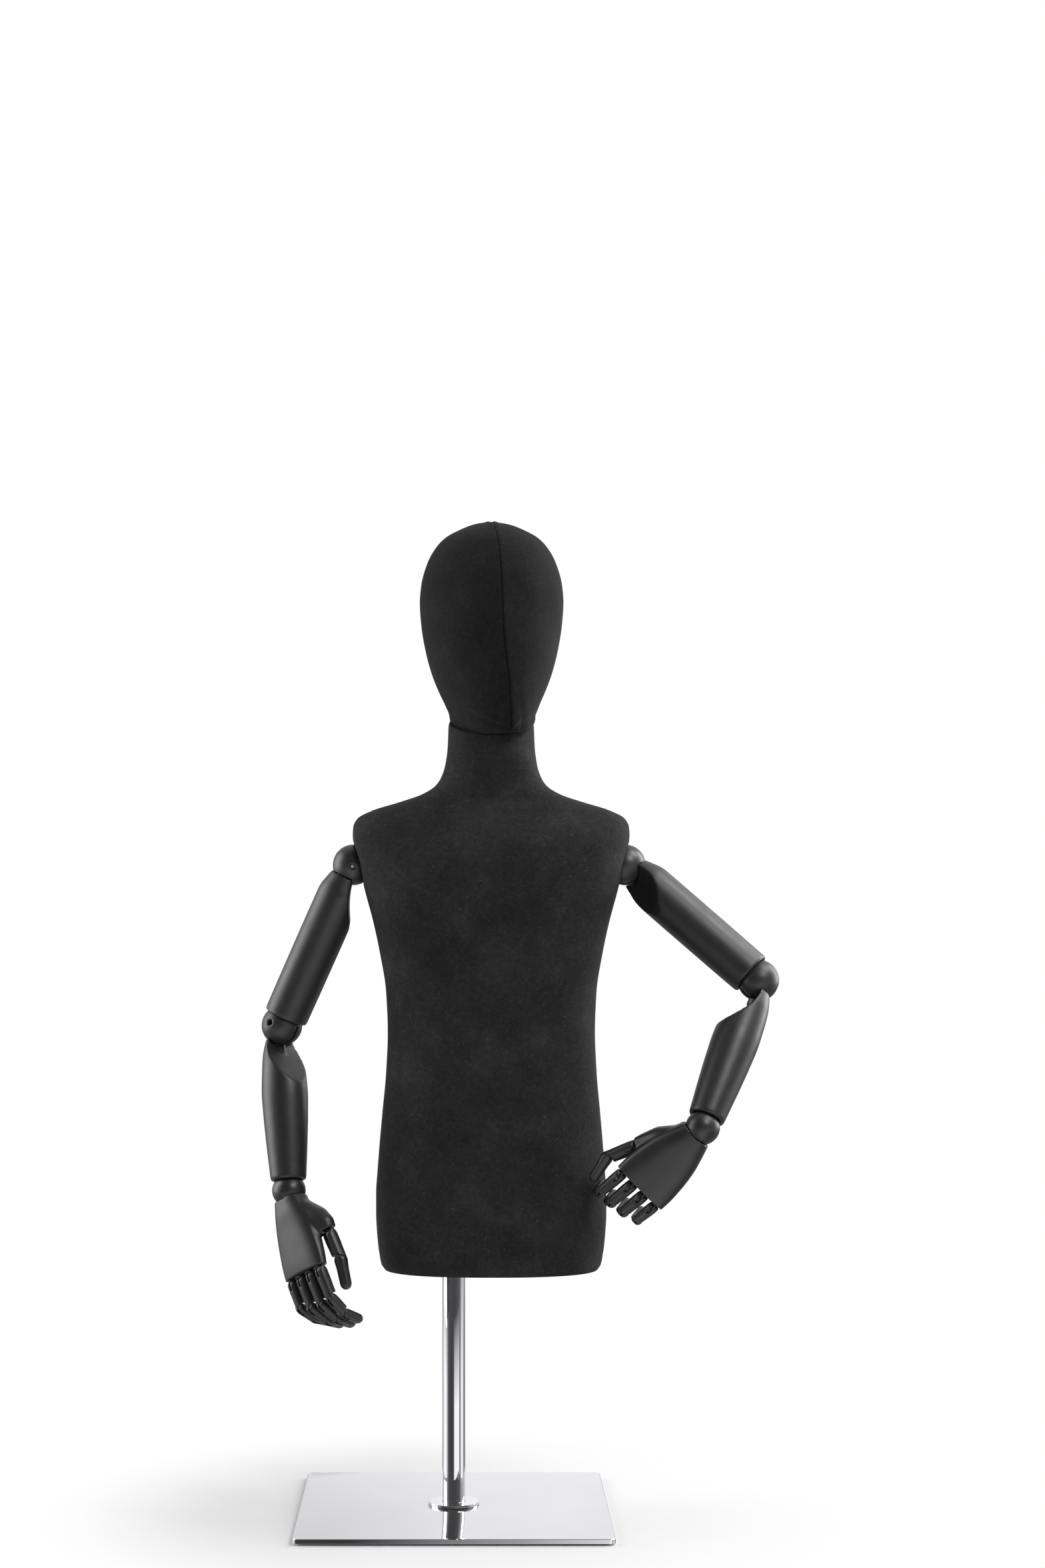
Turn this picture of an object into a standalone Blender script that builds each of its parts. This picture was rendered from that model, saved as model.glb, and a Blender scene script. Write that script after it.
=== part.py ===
"""Child dress form with egg head and articulated wooden arms on a steel stand.

Frame: origin on the floor under the pole axis, +Z up, the form faces -Y,
+X is the form's left.  All constants are millimetres; meshes are metres.
"""
import math
from collections import namedtuple
from types import SimpleNamespace

import bmesh
import bpy
import numpy as np
from mathutils import Matrix, Vector

MM = 0.001


# ------------------------------------------------------------- vectors and curves
def vec(*values):
    return np.array(values, float)


def unit(v):
    return v / np.linalg.norm(v)


def ortho(v, ref):
    """v made square to the unit vector ref."""
    return unit(v - np.dot(v, ref) * ref)


def signed_power(value, exponent):
    return math.copysign(abs(value) ** exponent, value)


def ring_angles(count):
    """Angles round a ring, starting half a step from zero."""
    return [2 * math.pi * (j + 0.5) / count for j in range(count)]


def curve(stations):
    """Monotone cubic through (position, value) stations, held level beyond the ends."""
    table = np.array(stations, float)
    pos, val = table[:, 0], table[:, 1]
    step = np.diff(pos)
    slope = np.diff(val) / step
    tangent = np.zeros(len(pos))
    tangent[0], tangent[-1] = slope[0], slope[-1]
    for i in range(1, len(pos) - 1):
        if slope[i - 1] * slope[i] > 0:
            before = 2 * step[i] + step[i - 1]
            after = step[i] + 2 * step[i - 1]
            tangent[i] = (before + after) / (before / slope[i - 1] + after / slope[i])

    def value_at(x):
        x = min(max(x, pos[0]), pos[-1])
        i = int(min(np.searchsorted(pos, x, side="right") - 1, len(pos) - 2))
        t = (x - pos[i]) / step[i]
        return ((2 * t**3 - 3 * t**2 + 1) * val[i]
                + (t**3 - 2 * t**2 + t) * step[i] * tangent[i]
                + (-2 * t**3 + 3 * t**2) * val[i + 1]
                + (t**3 - t**2) * step[i] * tangent[i + 1])
    return value_at


ORIGIN = vec(0, 0, 0)
UP = vec(0, 0, 1)
DOWN = vec(0, 0, -1)
BACK = vec(0, 1, 0)


# ------------------------------------------------------------- solids
def add_object(name, verts, faces):
    mesh = bpy.data.meshes.new(name)
    mesh.from_pydata([tuple(v * MM) for v in np.asarray(verts, float)], [], faces)
    bm = bmesh.new()
    bm.from_mesh(mesh)
    bmesh.ops.recalc_face_normals(bm, faces=bm.faces)
    bm.to_mesh(mesh)
    bm.free()
    ob = bpy.data.objects.new(name, mesh)
    bpy.context.scene.collection.objects.link(ob)
    return ob


def loft(name, rings, loop=False):
    """Skin a run of equal rings; ends are capped, or joined when loop is set."""
    n = len(rings[0])
    count = len(rings)
    faces = []
    for i in range(count if loop else count - 1):
        this, following = i * n, ((i + 1) % count) * n
        for j in range(n):
            k = (j + 1) % n
            faces.append((this + j, this + k, following + k, following + j))
    if not loop:
        faces.append(tuple(range(n - 1, -1, -1)))
        faces.append(tuple((count - 1) * n + j for j in range(n)))
    return add_object(name, np.vstack(rings), faces)


def turned(name, origin, axis, profile, n=20, loop=False):
    """Revolve (distance, radius) stations about an axis."""
    along = unit(axis)
    ref = UP if abs(along[2]) < 0.9 else BACK
    side = unit(np.cross(ref, along))
    other = np.cross(along, side)
    angles = np.arange(n) * 2 * math.pi / n
    rings = [np.array([origin + s * along + r * (math.cos(a) * side + math.sin(a) * other)
                       for a in angles]) for s, r in profile]
    return loft(name, rings, loop)


def rod(name, start, end, radius, n=12):
    span = end - start
    return turned(name, start, span, [(0, radius), (float(np.linalg.norm(span)), radius)], n)


def ball(name, center, r, axis, n=14, bands=8):
    """Sphere with a tiny flat at each pole."""
    profile = [(-r * math.cos(math.pi * i / bands), r * math.sin(math.pi * i / bands))
               for i in range(1, bands)]
    profile = [(-r * 0.999, r * 0.03)] + profile + [(r * 0.999, r * 0.03)]
    return turned(name, center, axis, profile, n)


def hull(name, points):
    bm = bmesh.new()
    for point in points:
        bm.verts.new([float(x) for x in point])
    bmesh.ops.convex_hull(bm, input=list(bm.verts), use_existing_faces=False)
    bmesh.ops.delete(bm, geom=[v for v in bm.verts if not v.link_faces], context="VERTS")
    bm.verts.index_update()
    verts = [tuple(v.co) for v in bm.verts]
    faces = [tuple(v.index for v in f.verts) for f in bm.faces]
    bm.free()
    return add_object(name, verts, faces)


def slab(name, center, axes, lo, hi):
    """Box from lo to hi along three unit axes about center."""
    corners = [center + (hi if i & 1 else lo)[0] * axes[0] + (hi if i & 2 else lo)[1] * axes[1]
               + (hi if i & 4 else lo)[2] * axes[2] for i in range(8)]
    faces = [(0, 2, 3, 1), (4, 5, 7, 6), (0, 1, 5, 4), (2, 6, 7, 3), (0, 4, 6, 2), (1, 3, 7, 5)]
    return add_object(name, corners, faces)


def prism(name, center, axes, outline, half):
    """Closed outline in the plane of the first two axes, pushed both ways along the third."""
    rings = [np.array([center + s * axes[0] + t * axes[1] + k * axes[2] for s, t in outline])
             for k in (-half, half)]
    return loft(name, rings)


def oval(center, axis_x, axis_y, radius_x, radius_y, n, exponent):
    """Superellipse ring."""
    return np.array([center + radius_x * signed_power(math.cos(a), 2 / exponent) * axis_x
                     + radius_y * signed_power(math.sin(a), 2 / exponent) * axis_y
                     for a in ring_angles(n)])


def open_edges(mesh):
    bm = bmesh.new()
    bm.from_mesh(mesh)
    bad = sum(1 for e in bm.edges if len(e.link_faces) != 2)
    bm.free()
    return bad


# Tool offsets tried in turn, in case faces of the two solids touch.
NUDGES = [(0, 0, 0), (0.013, 0.007, -0.011), (-0.017, 0.012, 0.009), (0.021, -0.019, 0.015)]


def boolean(ob, tool, operation):
    """Combine two closed solids, taking the first result that is closed; uses up the tool."""
    for solver in ("EXACT", "MANIFOLD"):
        for nudge in NUDGES:
            tool.location = Vector(nudge) * MM
            modifier = ob.modifiers.new(operation, "BOOLEAN")
            modifier.operation = operation
            modifier.object = tool
            modifier.solver = solver
            depsgraph = bpy.context.evaluated_depsgraph_get()
            mesh = bpy.data.meshes.new_from_object(ob.evaluated_get(depsgraph))
            ob.modifiers.clear()
            if len(mesh.polygons) and open_edges(mesh) == 0:
                old = ob.data
                ob.data = mesh
                bpy.data.meshes.remove(old)
                bpy.data.objects.remove(tool, do_unlink=True)
                return
            bpy.data.meshes.remove(mesh)
    raise RuntimeError("boolean failed on " + ob.name + " with " + tool.name)


def cut(ob, tool):
    boolean(ob, tool, "DIFFERENCE")


def fuse(ob, tool):
    boolean(ob, tool, "UNION")


def inset(rings, depth, ends=(None, None)):
    """Move a grid of rings inwards by depth; ends holds the end planes' normals."""
    grid = np.array(rings)
    along = np.gradient(grid, axis=0)
    around = np.roll(grid, -1, axis=1) - np.roll(grid, 1, axis=1)
    normals = np.cross(around, along)
    normals /= np.linalg.norm(normals, axis=2, keepdims=True) + 1e-9
    if np.sum(normals * (grid - grid.mean(axis=1, keepdims=True))) < 0:
        normals = -normals
    for i, end in ((0, ends[0]), (-1, ends[1])):
        if end is not None:
            normals[i] = normals[i] - (normals[i] @ end)[:, None] * end
            normals[i] /= np.linalg.norm(normals[i], axis=1, keepdims=True)
    return [grid[i] - depth * normals[i] for i in range(len(grid))]


# ------------------------------------------------------------- stand
BASE_HALF = 300.0 / 2
BASE_TOP = 6.0
BASE_BOTTOM = BASE_TOP - 4.8
CORNER_STEPS = 4
PAD_T = 0.9
POLE_R = 11.0
POLE_FOOT = BASE_TOP + 0.3
POLE_BORE_R = 9.0
POLE_BORE_FOOT = BASE_TOP + 14
POLE_TOP = 420.0
FOOT_HOLE_R = 4.5
SLIDE_R = POLE_R + 0.35        # bore of the rings round the pole
FLANGE_R = 25.0
FLANGE_TOP = BASE_TOP + 3.2
COLLAR_Z = 235.4

# (height, radius) stations
BASE_HOLE = [(0, 9.2), (BASE_BOTTOM, 9.2), (4.2, 4.6), (9, 4.6)]
BOLT_PROFILE = [(1.35, 2.6), (1.35, 8.4), (4.0, 4.15), (26, 4.15), (27, 3.2), (27, 0.4)]
HEX_PROFILE = [(0, 2.9), (3.6, 2.9)]
COLLAR_PROFILE = [(231.2, SLIDE_R), (231.2, 17.4), (231.9, 18.0), (239.0, 18.0), (239.6, 17.4),
                  (239.6, SLIDE_R)]
# (distance behind the pole axis, radius) stations
SCREW_PROFILE = [(11.6, 1.6), (12.2, 2.4), (18.6, 2.4), (18.6, 4.0), (30.0, 4.0), (30.6, 3.4)]


def rounded_square(half, radius, z):
    points = []
    for sx, sy, first in ((1, 1, 0), (-1, 1, 90), (-1, -1, 180), (1, -1, 270)):
        for k in range(CORNER_STEPS + 1):
            a = math.radians(first + 90.0 * k / CORNER_STEPS)
            points.append((sx * (half - radius) + radius * math.cos(a),
                           sy * (half - radius) + radius * math.sin(a), z))
    return np.array(points)


def build_base():
    base = loft("base_plate", [rounded_square(BASE_HALF - 0.5, 5.5, BASE_BOTTOM),
                               rounded_square(BASE_HALF, 6, BASE_BOTTOM + 0.5),
                               rounded_square(BASE_HALF, 6, BASE_TOP - 0.6),
                               rounded_square(BASE_HALF - 0.6, 5.4, BASE_TOP)])
    cut(base, turned("hole", ORIGIN, UP, BASE_HOLE, 16))
    loft("base_pad", [rounded_square(BASE_HALF - 4, 5, z) for z in (0, PAD_T)])
    bolt = turned("base_bolt", ORIGIN, UP, BOLT_PROFILE, 16)
    cut(bolt, turned("hex", ORIGIN, UP, HEX_PROFILE, 6))


def build_pole():
    turned("pole_flange", ORIGIN, UP,
           [(POLE_FOOT, SLIDE_R), (POLE_FOOT, FLANGE_R), (BASE_TOP + 2.6, FLANGE_R),
            (FLANGE_TOP, FLANGE_R - 0.7), (FLANGE_TOP, SLIDE_R)], loop=True)
    turned("pole_tube", ORIGIN, UP,
           [(POLE_FOOT, FOOT_HOLE_R), (POLE_FOOT, POLE_R), (POLE_TOP - 1, POLE_R),
            (POLE_TOP, POLE_R - 1), (POLE_TOP, POLE_BORE_R), (POLE_BORE_FOOT, POLE_BORE_R),
            (POLE_BORE_FOOT, FOOT_HOLE_R)], loop=True)


def build_collar():
    """Ring round the pole under the torso, with its screw at the back."""
    collar = turned("height_collar", ORIGIN, UP, COLLAR_PROFILE, loop=True)
    cut(collar, rod("hole", vec(0, 8, COLLAR_Z), vec(0, 30, COLLAR_Z), 2.9, 10))
    turned("collar_screw", vec(0, 0, COLLAR_Z), BACK, SCREW_PROFILE, 14)


# ------------------------------------------------------------- torso
TORSO_X = 36.5            # the pole enters the form off centre
NECK_Z = 769.8            # neck plane height over the pole axis
NECK_SLOPE = 0.3156       # neck plane falls towards the front
NECK_NORMAL = unit(vec(0, -NECK_SLOPE, 1))
NECK_CENTER = vec(TORSO_X, 0, NECK_Z)
TILT_START = 716          # rings tilt from level here to the neck plane
TILT_SPAN = 54.0
COVER_T = 1.2
SHELL_T = 5.0
SHELL_OUTER = COVER_T + 1.8          # depths below the cover's outside
SHELL_INNER = SHELL_OUTER + SHELL_T
SHELL_END_GAP = 0.6                  # shell stops short of the cover's ends
COVER_SIDES = 20
SHELL_SIDES = 14
SHOULDER_Z = 630.5
POCKET_R = 23.4
SPIGOT_WAY_R = 8.4

# Half width, front and back depth and superellipse exponent, each against height
TORSO_WIDTH = curve([
    (238, 105.5), (243, 107.5), (252, 109.5), (272, 111.7), (291, 112.7), (311, 112.7),
    (330, 111.4), (350, 109.8), (389, 106.2), (428, 102.6), (467, 101.0), (506, 102.6),
    (545, 108.8), (574, 115.0), (604, 123.0), (630, 129.5), (648, 134.0), (660, 135.5),
    (668, 135.0), (676, 131.0), (684, 116.0), (692, 90.0), (700, 67.0), (708, 54.5),
    (716, 49.0), (728, 45.0), (746, 42.6), (770, 41.7)])
TORSO_FRONT = curve([
    (238, 69), (251, 74), (291, 78), (330, 78), (369, 79), (408, 79), (447, 77), (486, 74),
    (526, 72), (566, 73), (606, 75), (646, 68), (666, 55), (682, 40), (696, 33), (710, 34),
    (724, 38), (745, 42), (770, 44)])
TORSO_BACK = curve([
    (238, 82), (251, 88), (291, 92), (330, 86), (369, 72), (408, 62), (447, 57), (486, 58),
    (526, 64), (566, 72), (606, 78), (646, 76), (666, 67), (682, 56), (696, 47), (710, 43),
    (724, 40), (745, 39), (770, 40)])
TORSO_EXPONENT = curve([
    (238, 2.5), (330, 2.45), (467, 2.3), (560, 2.5), (620, 2.8), (650, 2.7), (680, 2.2),
    (700, 2.1), (730, 2.0), (770, 2.0)])
# Ring heights
COVER_STATIONS = (238, 243, 256, 285, 320, 355, 395, 440, 480, 520, 560, 595, 625, 645, 658,
                  668, 676, 683, 690, 697, 706, 717, 733, 751, 770)
SHELL_STATIONS = (238, 256, 290, 330, 370, 410, 450, 490, 530, 565, 600, 628, 648, 660, 670,
                  679, 688, 697, 708, 722, 745, 770)
# (height, radius) stations
SOCKET_PROFILE = [(241.0, 11.4), (241.0, 13.0), (251.4, 13.0), (251.4, 25.0), (254.4, 25.0),
                  (254.4, 13.0), (361, 13.0), (361, 11.4)]
# (distance out from the torso's centre plane, radius) stations
MOUNT_PROFILE = [(108.4, 7.4), (108.4, 22.6), (115.8, 22.6), (115.8, 7.4)]


def neck_plane(y, lift=0.0):
    """Height of the neck plane at y, raised by lift."""
    return NECK_Z + lift + NECK_SLOPE * y


def torso_ring(z, n):
    width, front, back = TORSO_WIDTH(z), TORSO_FRONT(z), TORSO_BACK(z)
    power = 2 / TORSO_EXPONENT(z)
    tilt = min(max((z - TILT_START) / TILT_SPAN, 0.0), 1.0)
    tilt = tilt * tilt * (3 - 2 * tilt)
    ring = []
    for a in ring_angles(n):
        x = width * signed_power(math.cos(a), power)
        y = (back - front) / 2 + (back + front) / 2 * signed_power(math.sin(a), power)
        ring.append((TORSO_X + x, y, z + tilt * NECK_SLOPE * y))
    ring = np.array(ring)
    if z == COVER_STATIONS[-1]:
        ring[:, 2] = neck_plane(ring[:, 1])
    return ring


def torso_cover():
    outer = [torso_ring(z, COVER_SIDES) for z in COVER_STATIONS]
    inner = inset(outer, COVER_T, (DOWN, NECK_NORMAL))
    return loft("torso_cover", outer + inner[::-1], loop=True)


def torso_shell():
    """Shell open at the bottom and closed at the neck."""
    grid = [torso_ring(z, SHELL_SIDES) for z in SHELL_STATIONS]
    outer = inset(grid, SHELL_OUTER, (DOWN, NECK_NORMAL))
    inner = inset(grid, SHELL_INNER, (DOWN, NECK_NORMAL))
    outer[0][:, 2] += SHELL_END_GAP
    inner[0][:, 2] += SHELL_END_GAP
    outer[-1] -= SHELL_END_GAP * NECK_NORMAL
    inner[-1] -= (SHELL_END_GAP + SHELL_T) * NECK_NORMAL
    # The run goes down the outside and back up the inside.
    return loft("torso_shell", outer[::-1] + inner)


def add_shoulder(shell, cover, side, outward):
    """Boss inside the shell, pocket for the ball, passage for its peg, and the mount ring."""
    middle = vec(TORSO_X, 0, SHOULDER_Z)

    def sideways(name, start, end, radius, n):
        return rod(name, middle + start * outward, middle + end * outward, radius, n)

    boss = sideways("boss", 101, 150, 28.0, 20)
    grid = [torso_ring(z, SHELL_SIDES) for z in SHELL_STATIONS]
    fill = loft("fill", inset(grid, SHELL_OUTER + 2.2, (DOWN, NECK_NORMAL)))
    boolean(boss, fill, "INTERSECT")
    fuse(shell, boss)
    cut(shell, sideways("pocket", 108, 170, POCKET_R, 20))
    cut(shell, sideways("pegway", 95, 110, 7.6, 12))
    cut(cover, sideways("pocket", 90, 170, POCKET_R, 20))
    turned("shoulder_mount_" + side, middle, outward, MOUNT_PROFILE, 14, loop=True)


def build_torso():
    cover = torso_cover()
    shell = torso_shell()
    for side, arm in ARMS.items():
        add_shoulder(shell, cover, side, arm.outward)
    cut(shell, rod("neck_hole", NECK_CENTER - 20 * NECK_NORMAL, NECK_CENTER + 20 * NECK_NORMAL,
                   SPIGOT_WAY_R, 16))


def build_torso_base():
    """Board closing the bottom of the shell, and the socket for the pole."""
    grid = [torso_ring(z, SHELL_SIDES) for z in COVER_STATIONS[:4]]
    rim = inset(grid, SHELL_INNER + 1.2, (DOWN, None))[0]
    rings = [np.column_stack((rim[:, :2], np.full(len(rim), z))) for z in (240.3, 251.0)]
    board = loft("base_board", rings)
    cut(board, rod("hole", vec(0, 0, 230), vec(0, 0, 260), 13.4, 20))
    turned("pole_socket", ORIGIN, UP, SOCKET_PROFILE, loop=True)


# ------------------------------------------------------------- head
HEAD_X = 36.8
SEAM_GAP = 0.5            # head cover's foot over the neck plane
SEAM_Y = -1.5             # centre of the seam ring
SEAM_HALF_WIDTH = 40.2
SEAM_FRONT = 42.0
SEAM_BACK = 40.5
SEAM_MEAN_R = 41.0

# Half width, front depth, back depth and turn in degrees, each against height
HEAD_WIDTH = curve([
    (756, 24), (758, 29), (763, 36), (770, 40), (778, 41.5), (785, 44.5), (801, 52),
    (817, 58.3), (840, 64.5), (864, 68.4), (887, 70), (903, 68.7), (926, 62.3), (942, 53),
    (950, 44.8), (957, 32), (963, 17), (966, 2)])
HEAD_FRONT = curve([
    (756, 58), (758, 63), (763, 70), (770, 74.5), (785, 82), (800, 88), (817, 91), (840, 92),
    (863, 91), (887, 88), (902, 84), (926, 72), (942, 57), (957, 32), (963, 14), (966, -5)])
HEAD_BACK = curve([
    (756, 43), (770, 44), (785, 47), (800, 55), (817, 66), (840, 78), (863, 86), (887, 89),
    (902, 88), (926, 80), (942, 68), (957, 45), (963, 25), (966, 9)])
HEAD_YAW = curve([(756, 15), (800, 10), (860, 6), (966, 5)])
HEAD_STATIONS = (965.6, 961, 953, 941, 924, 900, 873, 846, 820, 800, 786, 776, 768, 761, 757)
# (distance along the neck normal, radius) stations
SPIGOT_PROFILE = [(-30, 7.0), (-28, 8.0), (38, 8.0), (40, 7.0)]


def head_ring(z, n):
    """Level ring, narrowed at the front below z = 900 and held above the neck plane."""
    width, front, back = HEAD_WIDTH(z), HEAD_FRONT(z), HEAD_BACK(z)
    yaw = math.radians(HEAD_YAW(z))
    ring = []
    for a in ring_angles(n):
        c, s = math.cos(a), math.sin(a)
        keel = 1.0 - 0.10 * max(0.0, -s) ** 2 * min(max((900 - z) / 90.0, 0.0), 1.0)
        x = width * c * keel
        y = (back if s > 0 else front) * s
        turned_x = x * math.cos(yaw) - y * math.sin(yaw)
        turned_y = x * math.sin(yaw) + y * math.cos(yaw)
        ring.append((HEAD_X + turned_x, turned_y, max(z, neck_plane(turned_y, SEAM_GAP))))
    return np.array(ring)


def seam_ring(n, gap):
    ring = []
    for a in ring_angles(n):
        x = SEAM_HALF_WIDTH * math.cos(a)
        y = SEAM_Y + (SEAM_FRONT if math.sin(a) < 0 else SEAM_BACK) * math.sin(a)
        ring.append((TORSO_X + x, y, neck_plane(y, gap)))
    return np.array(ring)


def head_grid(n):
    return [head_ring(z, n) for z in HEAD_STATIONS] + [seam_ring(n, SEAM_GAP)]


def head_inset(n, depth, lift, foot_lift):
    """The head's grid moved inwards, kept above its own foot."""
    inner = inset(head_grid(n), depth, (UP, None))
    inner[0] = inner[0] + vec(0, 0, -depth)
    for ring in inner:
        ring[:, 2] = np.maximum(ring[:, 2], neck_plane(ring[:, 1], lift) + depth)
    foot = seam_ring(n, foot_lift)
    middle = vec(TORSO_X, SEAM_Y)
    foot[:, :2] = middle + (foot[:, :2] - middle) * (1 - depth / SEAM_MEAN_R)
    foot[:, 2] = neck_plane(foot[:, 1], foot_lift)
    inner[-1] = foot
    return inner


def build_head():
    inner = head_inset(COVER_SIDES, COVER_T, SEAM_GAP, SEAM_GAP)
    loft("head_cover", head_grid(COVER_SIDES) + inner[::-1])
    core = loft("head_core", head_inset(12, SHELL_OUTER + 0.5, 1.0, 4.6))
    cut(core, rod("spigot_way", NECK_CENTER - 5 * NECK_NORMAL, NECK_CENTER + 41 * NECK_NORMAL,
                  SPIGOT_WAY_R, 16))
    turned("head_spigot", NECK_CENTER, NECK_NORMAL, SPIGOT_PROFILE, 16)


# ------------------------------------------------------------- arm dimensions
SHOULDER_OFFSET = 133.0
SHOULDER_SHIFT = -2.0     # along X, the same for both shoulders
UPPER_LEN = 173.0
FORE_LEN = 163.5
BALL_R = 20.0
WRIST_R = 16.3
CUP_FIT = 1.07            # cup radius over ball radius
SHOULDER_PEG_R = 6.9
SHOULDER_PEG_LEN = {"R": 24.0, "L": 20.0}    # from the ball's centre
ELBOW_PEG_R = 5.0
WRIST_PEG_R = 4.0
PEG_CLEARANCE = 0.45
SHOULDER_HOLE_R = 2.55
ELBOW_HOLE_R = 2.95
TONGUE_HALF_T = 1.3
SLOT_HALF_T = 1.7
WRIST_TONGUE_HALF = 3.5

# profile: (distance along the limb, radius)
# scoop: outline cut away near the upper joint, (distance along the limb, height off its axis)
UPPER_ARM = SimpleNamespace(
    profile=[(12.2, 16.5), (20, 19.2), (32, 21.9), (60, 22.1), (110, 22.0), (156, 21.7),
             (161, 21.6), (164, 20.7)],
    scoop=[(-24, 6.2), (13.6, 6.2), (20, 7.2), (26.9, 8.8), (37.9, 12.7), (46, 16.6),
           (52.8, 20.1), (59.3, 21.9), (64, 26), (64, 40), (-24, 40)],
    end_ball_r=BALL_R, bore_depth=38, bore_r=ELBOW_PEG_R + PEG_CLEARANCE,
    tongue_top=4.2, hole_r=SHOULDER_HOLE_R)
FOREARM = SimpleNamespace(
    profile=[(9, 14.6), (18, 17.4), (31, 20.0), (54, 22.0), (68, 22.6), (90, 21.8),
             (111, 20.5), (150, 17.4), (152.5, 17.0), (153.7, 16.0)],
    scoop=[(-24, -1.8), (5.6, -1.8), (18.3, -1.4), (28, 2.4), (38.5, 8.8), (48, 15.6),
           (56, 21.2), (62, 26), (66, 30), (66, 42), (-24, 42)],
    end_ball_r=WRIST_R, bore_depth=32, bore_r=WRIST_PEG_R + PEG_CLEARANCE,
    tongue_top=2.6, hole_r=ELBOW_HOLE_R)

# Palm half width and half thickness against distance from the wrist
PALM_LEN = 83.5
PALM_WIDTH = curve([(8.6, 16.2), (22, 20.8), (38, 25.4), (58, 28.4), (74, 29.4),
                    (PALM_LEN, 29.2)])
PALM_THICKNESS = curve([(8.6, 13.8), (22, 13.6), (38, 12.2), (58, 10.6), (76, 9.2),
                        (PALM_LEN, 8.2)])
PALM_STATIONS = (8.6, 18, 30, 46, 62, 76, PALM_LEN)

# name: (place across the palm, segment lengths, segment radii)
FINGER_PITCH = 14.4
FINGERS = {
    "index": (1.5 * FINGER_PITCH, (28, 20, 18.5), (5.8, 5.4, 5.0)),
    "middle": (0.5 * FINGER_PITCH, (29, 21, 19), (5.8, 5.4, 5.0)),
    "ring": (-0.5 * FINGER_PITCH, (27.5, 20, 18.5), (5.8, 5.4, 5.0)),
    "pinky": (-1.5 * FINGER_PITCH, (23.5, 17, 16.5), (5.4, 5.0, 4.6)),
}
THUMB_LENGTHS = (26, 28)
THUMB_RADII = (6.6, 6.2)
FINGER_GAP = 0.5          # between a knuckle's round and the flat face behind it

# Hinge centre, hinge axis, direction, length and radius of one finger segment
Segment = namedtuple("Segment", "center axis direction length radius")


# ------------------------------------------------------------- arm poses
def make_arm(side, upper, fore, hand, across, **pose):
    """Joint centres and directions of one arm at rest."""
    sign = -1.0 if side == "R" else 1.0
    arm = SimpleNamespace(side=side, **pose)
    arm.outward = vec(sign, 0, 0)
    arm.upper, arm.fore, arm.hand = unit(upper), unit(fore), unit(hand)
    arm.across = ortho(across, arm.hand)                      # towards the index finger
    arm.palmar = sign * np.cross(arm.hand, arm.across)        # the way the fingers curl
    arm.shoulder = vec(TORSO_X + sign * SHOULDER_OFFSET + SHOULDER_SHIFT, 0, SHOULDER_Z)
    arm.elbow = arm.shoulder + UPPER_LEN * arm.upper
    arm.wrist = arm.elbow + FORE_LEN * arm.fore
    arm.shoulder_pin = unit(np.cross(arm.outward, arm.upper))
    arm.elbow_pin = unit(np.cross(arm.upper, arm.fore))
    return arm


# Angles are degrees; flex is per finger joint from the palm outwards.
# thumb: hinge place and the two segments' directions, as (hand, across, palmar).
# blind: pins and their holes stop short of the ball's front.
ARMS = {
    "R": make_arm(
        "R", upper=vec(-0.408, 0.08, -0.913), fore=vec(0.057, -0.26, -0.965),
        hand=vec(0.22, -0.36, -0.906), across=vec(0.64, -0.65, 0.41),
        scoop_twist=0.0, blind=False, wrist_span=(-30, 14),
        flex={"index": (13, 30, 27), "middle": (12, 36, 26),
              "ring": (11, 42, 24), "pinky": (10, 46, 22)},
        thumb=((57.5, 32, 12), (0.975, 0.10, 0.15), (0.985, -0.10, 0.08))),
    "L": make_arm(
        "L", upper=vec(0.727, -0.240, -0.645), fore=vec(-0.365, -0.420, -0.831),
        hand=vec(-0.70, 0.17, -0.70), across=vec(-0.67, 0.0, 0.74),
        scoop_twist=33.0, blind=True, wrist_span=(-30, 0),
        flex={"index": (27, 45, 36), "middle": (29, 46, 36),
              "ring": (31, 47, 36), "pinky": (33, 48, 36)},
        thumb=((65, 31.5, 12.5), (0.92, 0.34, 0.14), (0.95, -0.24, 0.20))),
}


def hand_point(arm, place):
    return arm.wrist + place[0] * arm.hand + place[1] * arm.across + place[2] * arm.palmar


def hand_direction(arm, v):
    return unit(v[0] * arm.hand + v[1] * arm.across + v[2] * arm.palmar)


def thumb_segments(arm):
    base, first, second = arm.thumb
    center = hand_point(arm, base)
    first, second = hand_direction(arm, first), hand_direction(arm, second)
    axis = ortho(arm.across, first)
    sign = np.sign(np.dot(np.cross(axis, first), arm.palmar))
    return [Segment(center, axis * sign, first, THUMB_LENGTHS[0], THUMB_RADII[0]),
            Segment(center + THUMB_LENGTHS[0] * first, unit(np.cross(first, second)), second,
                    THUMB_LENGTHS[1], THUMB_RADII[1])]


def finger_segments(arm, finger):
    place, lengths, radii = FINGERS[finger]
    axis = unit(np.cross(arm.hand, arm.palmar))
    center = hand_point(arm, (PALM_LEN + radii[0] + FINGER_GAP, place, 0))
    segments, bend = [], 0.0
    for flex, length, radius in zip(arm.flex[finger], lengths, radii):
        bend += math.radians(flex)
        direction = math.cos(bend) * arm.hand + math.sin(bend) * arm.palmar
        segments.append(Segment(center, axis, direction, length, radius))
        center = center + length * direction
    return segments


def digits(arm):
    """One list of (part name, segment) pairs per digit, thumb first."""
    chains = [("thumb", ("proximal", "distal"), thumb_segments(arm))]
    for finger in FINGERS:
        chains.append((finger, ("proximal", "middle", "distal"), finger_segments(arm, finger)))
    return [[("%s_%s_%s" % (digit, label, arm.side), segment)
             for label, segment in zip(labels, segments)] for digit, labels, segments in chains]


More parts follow.
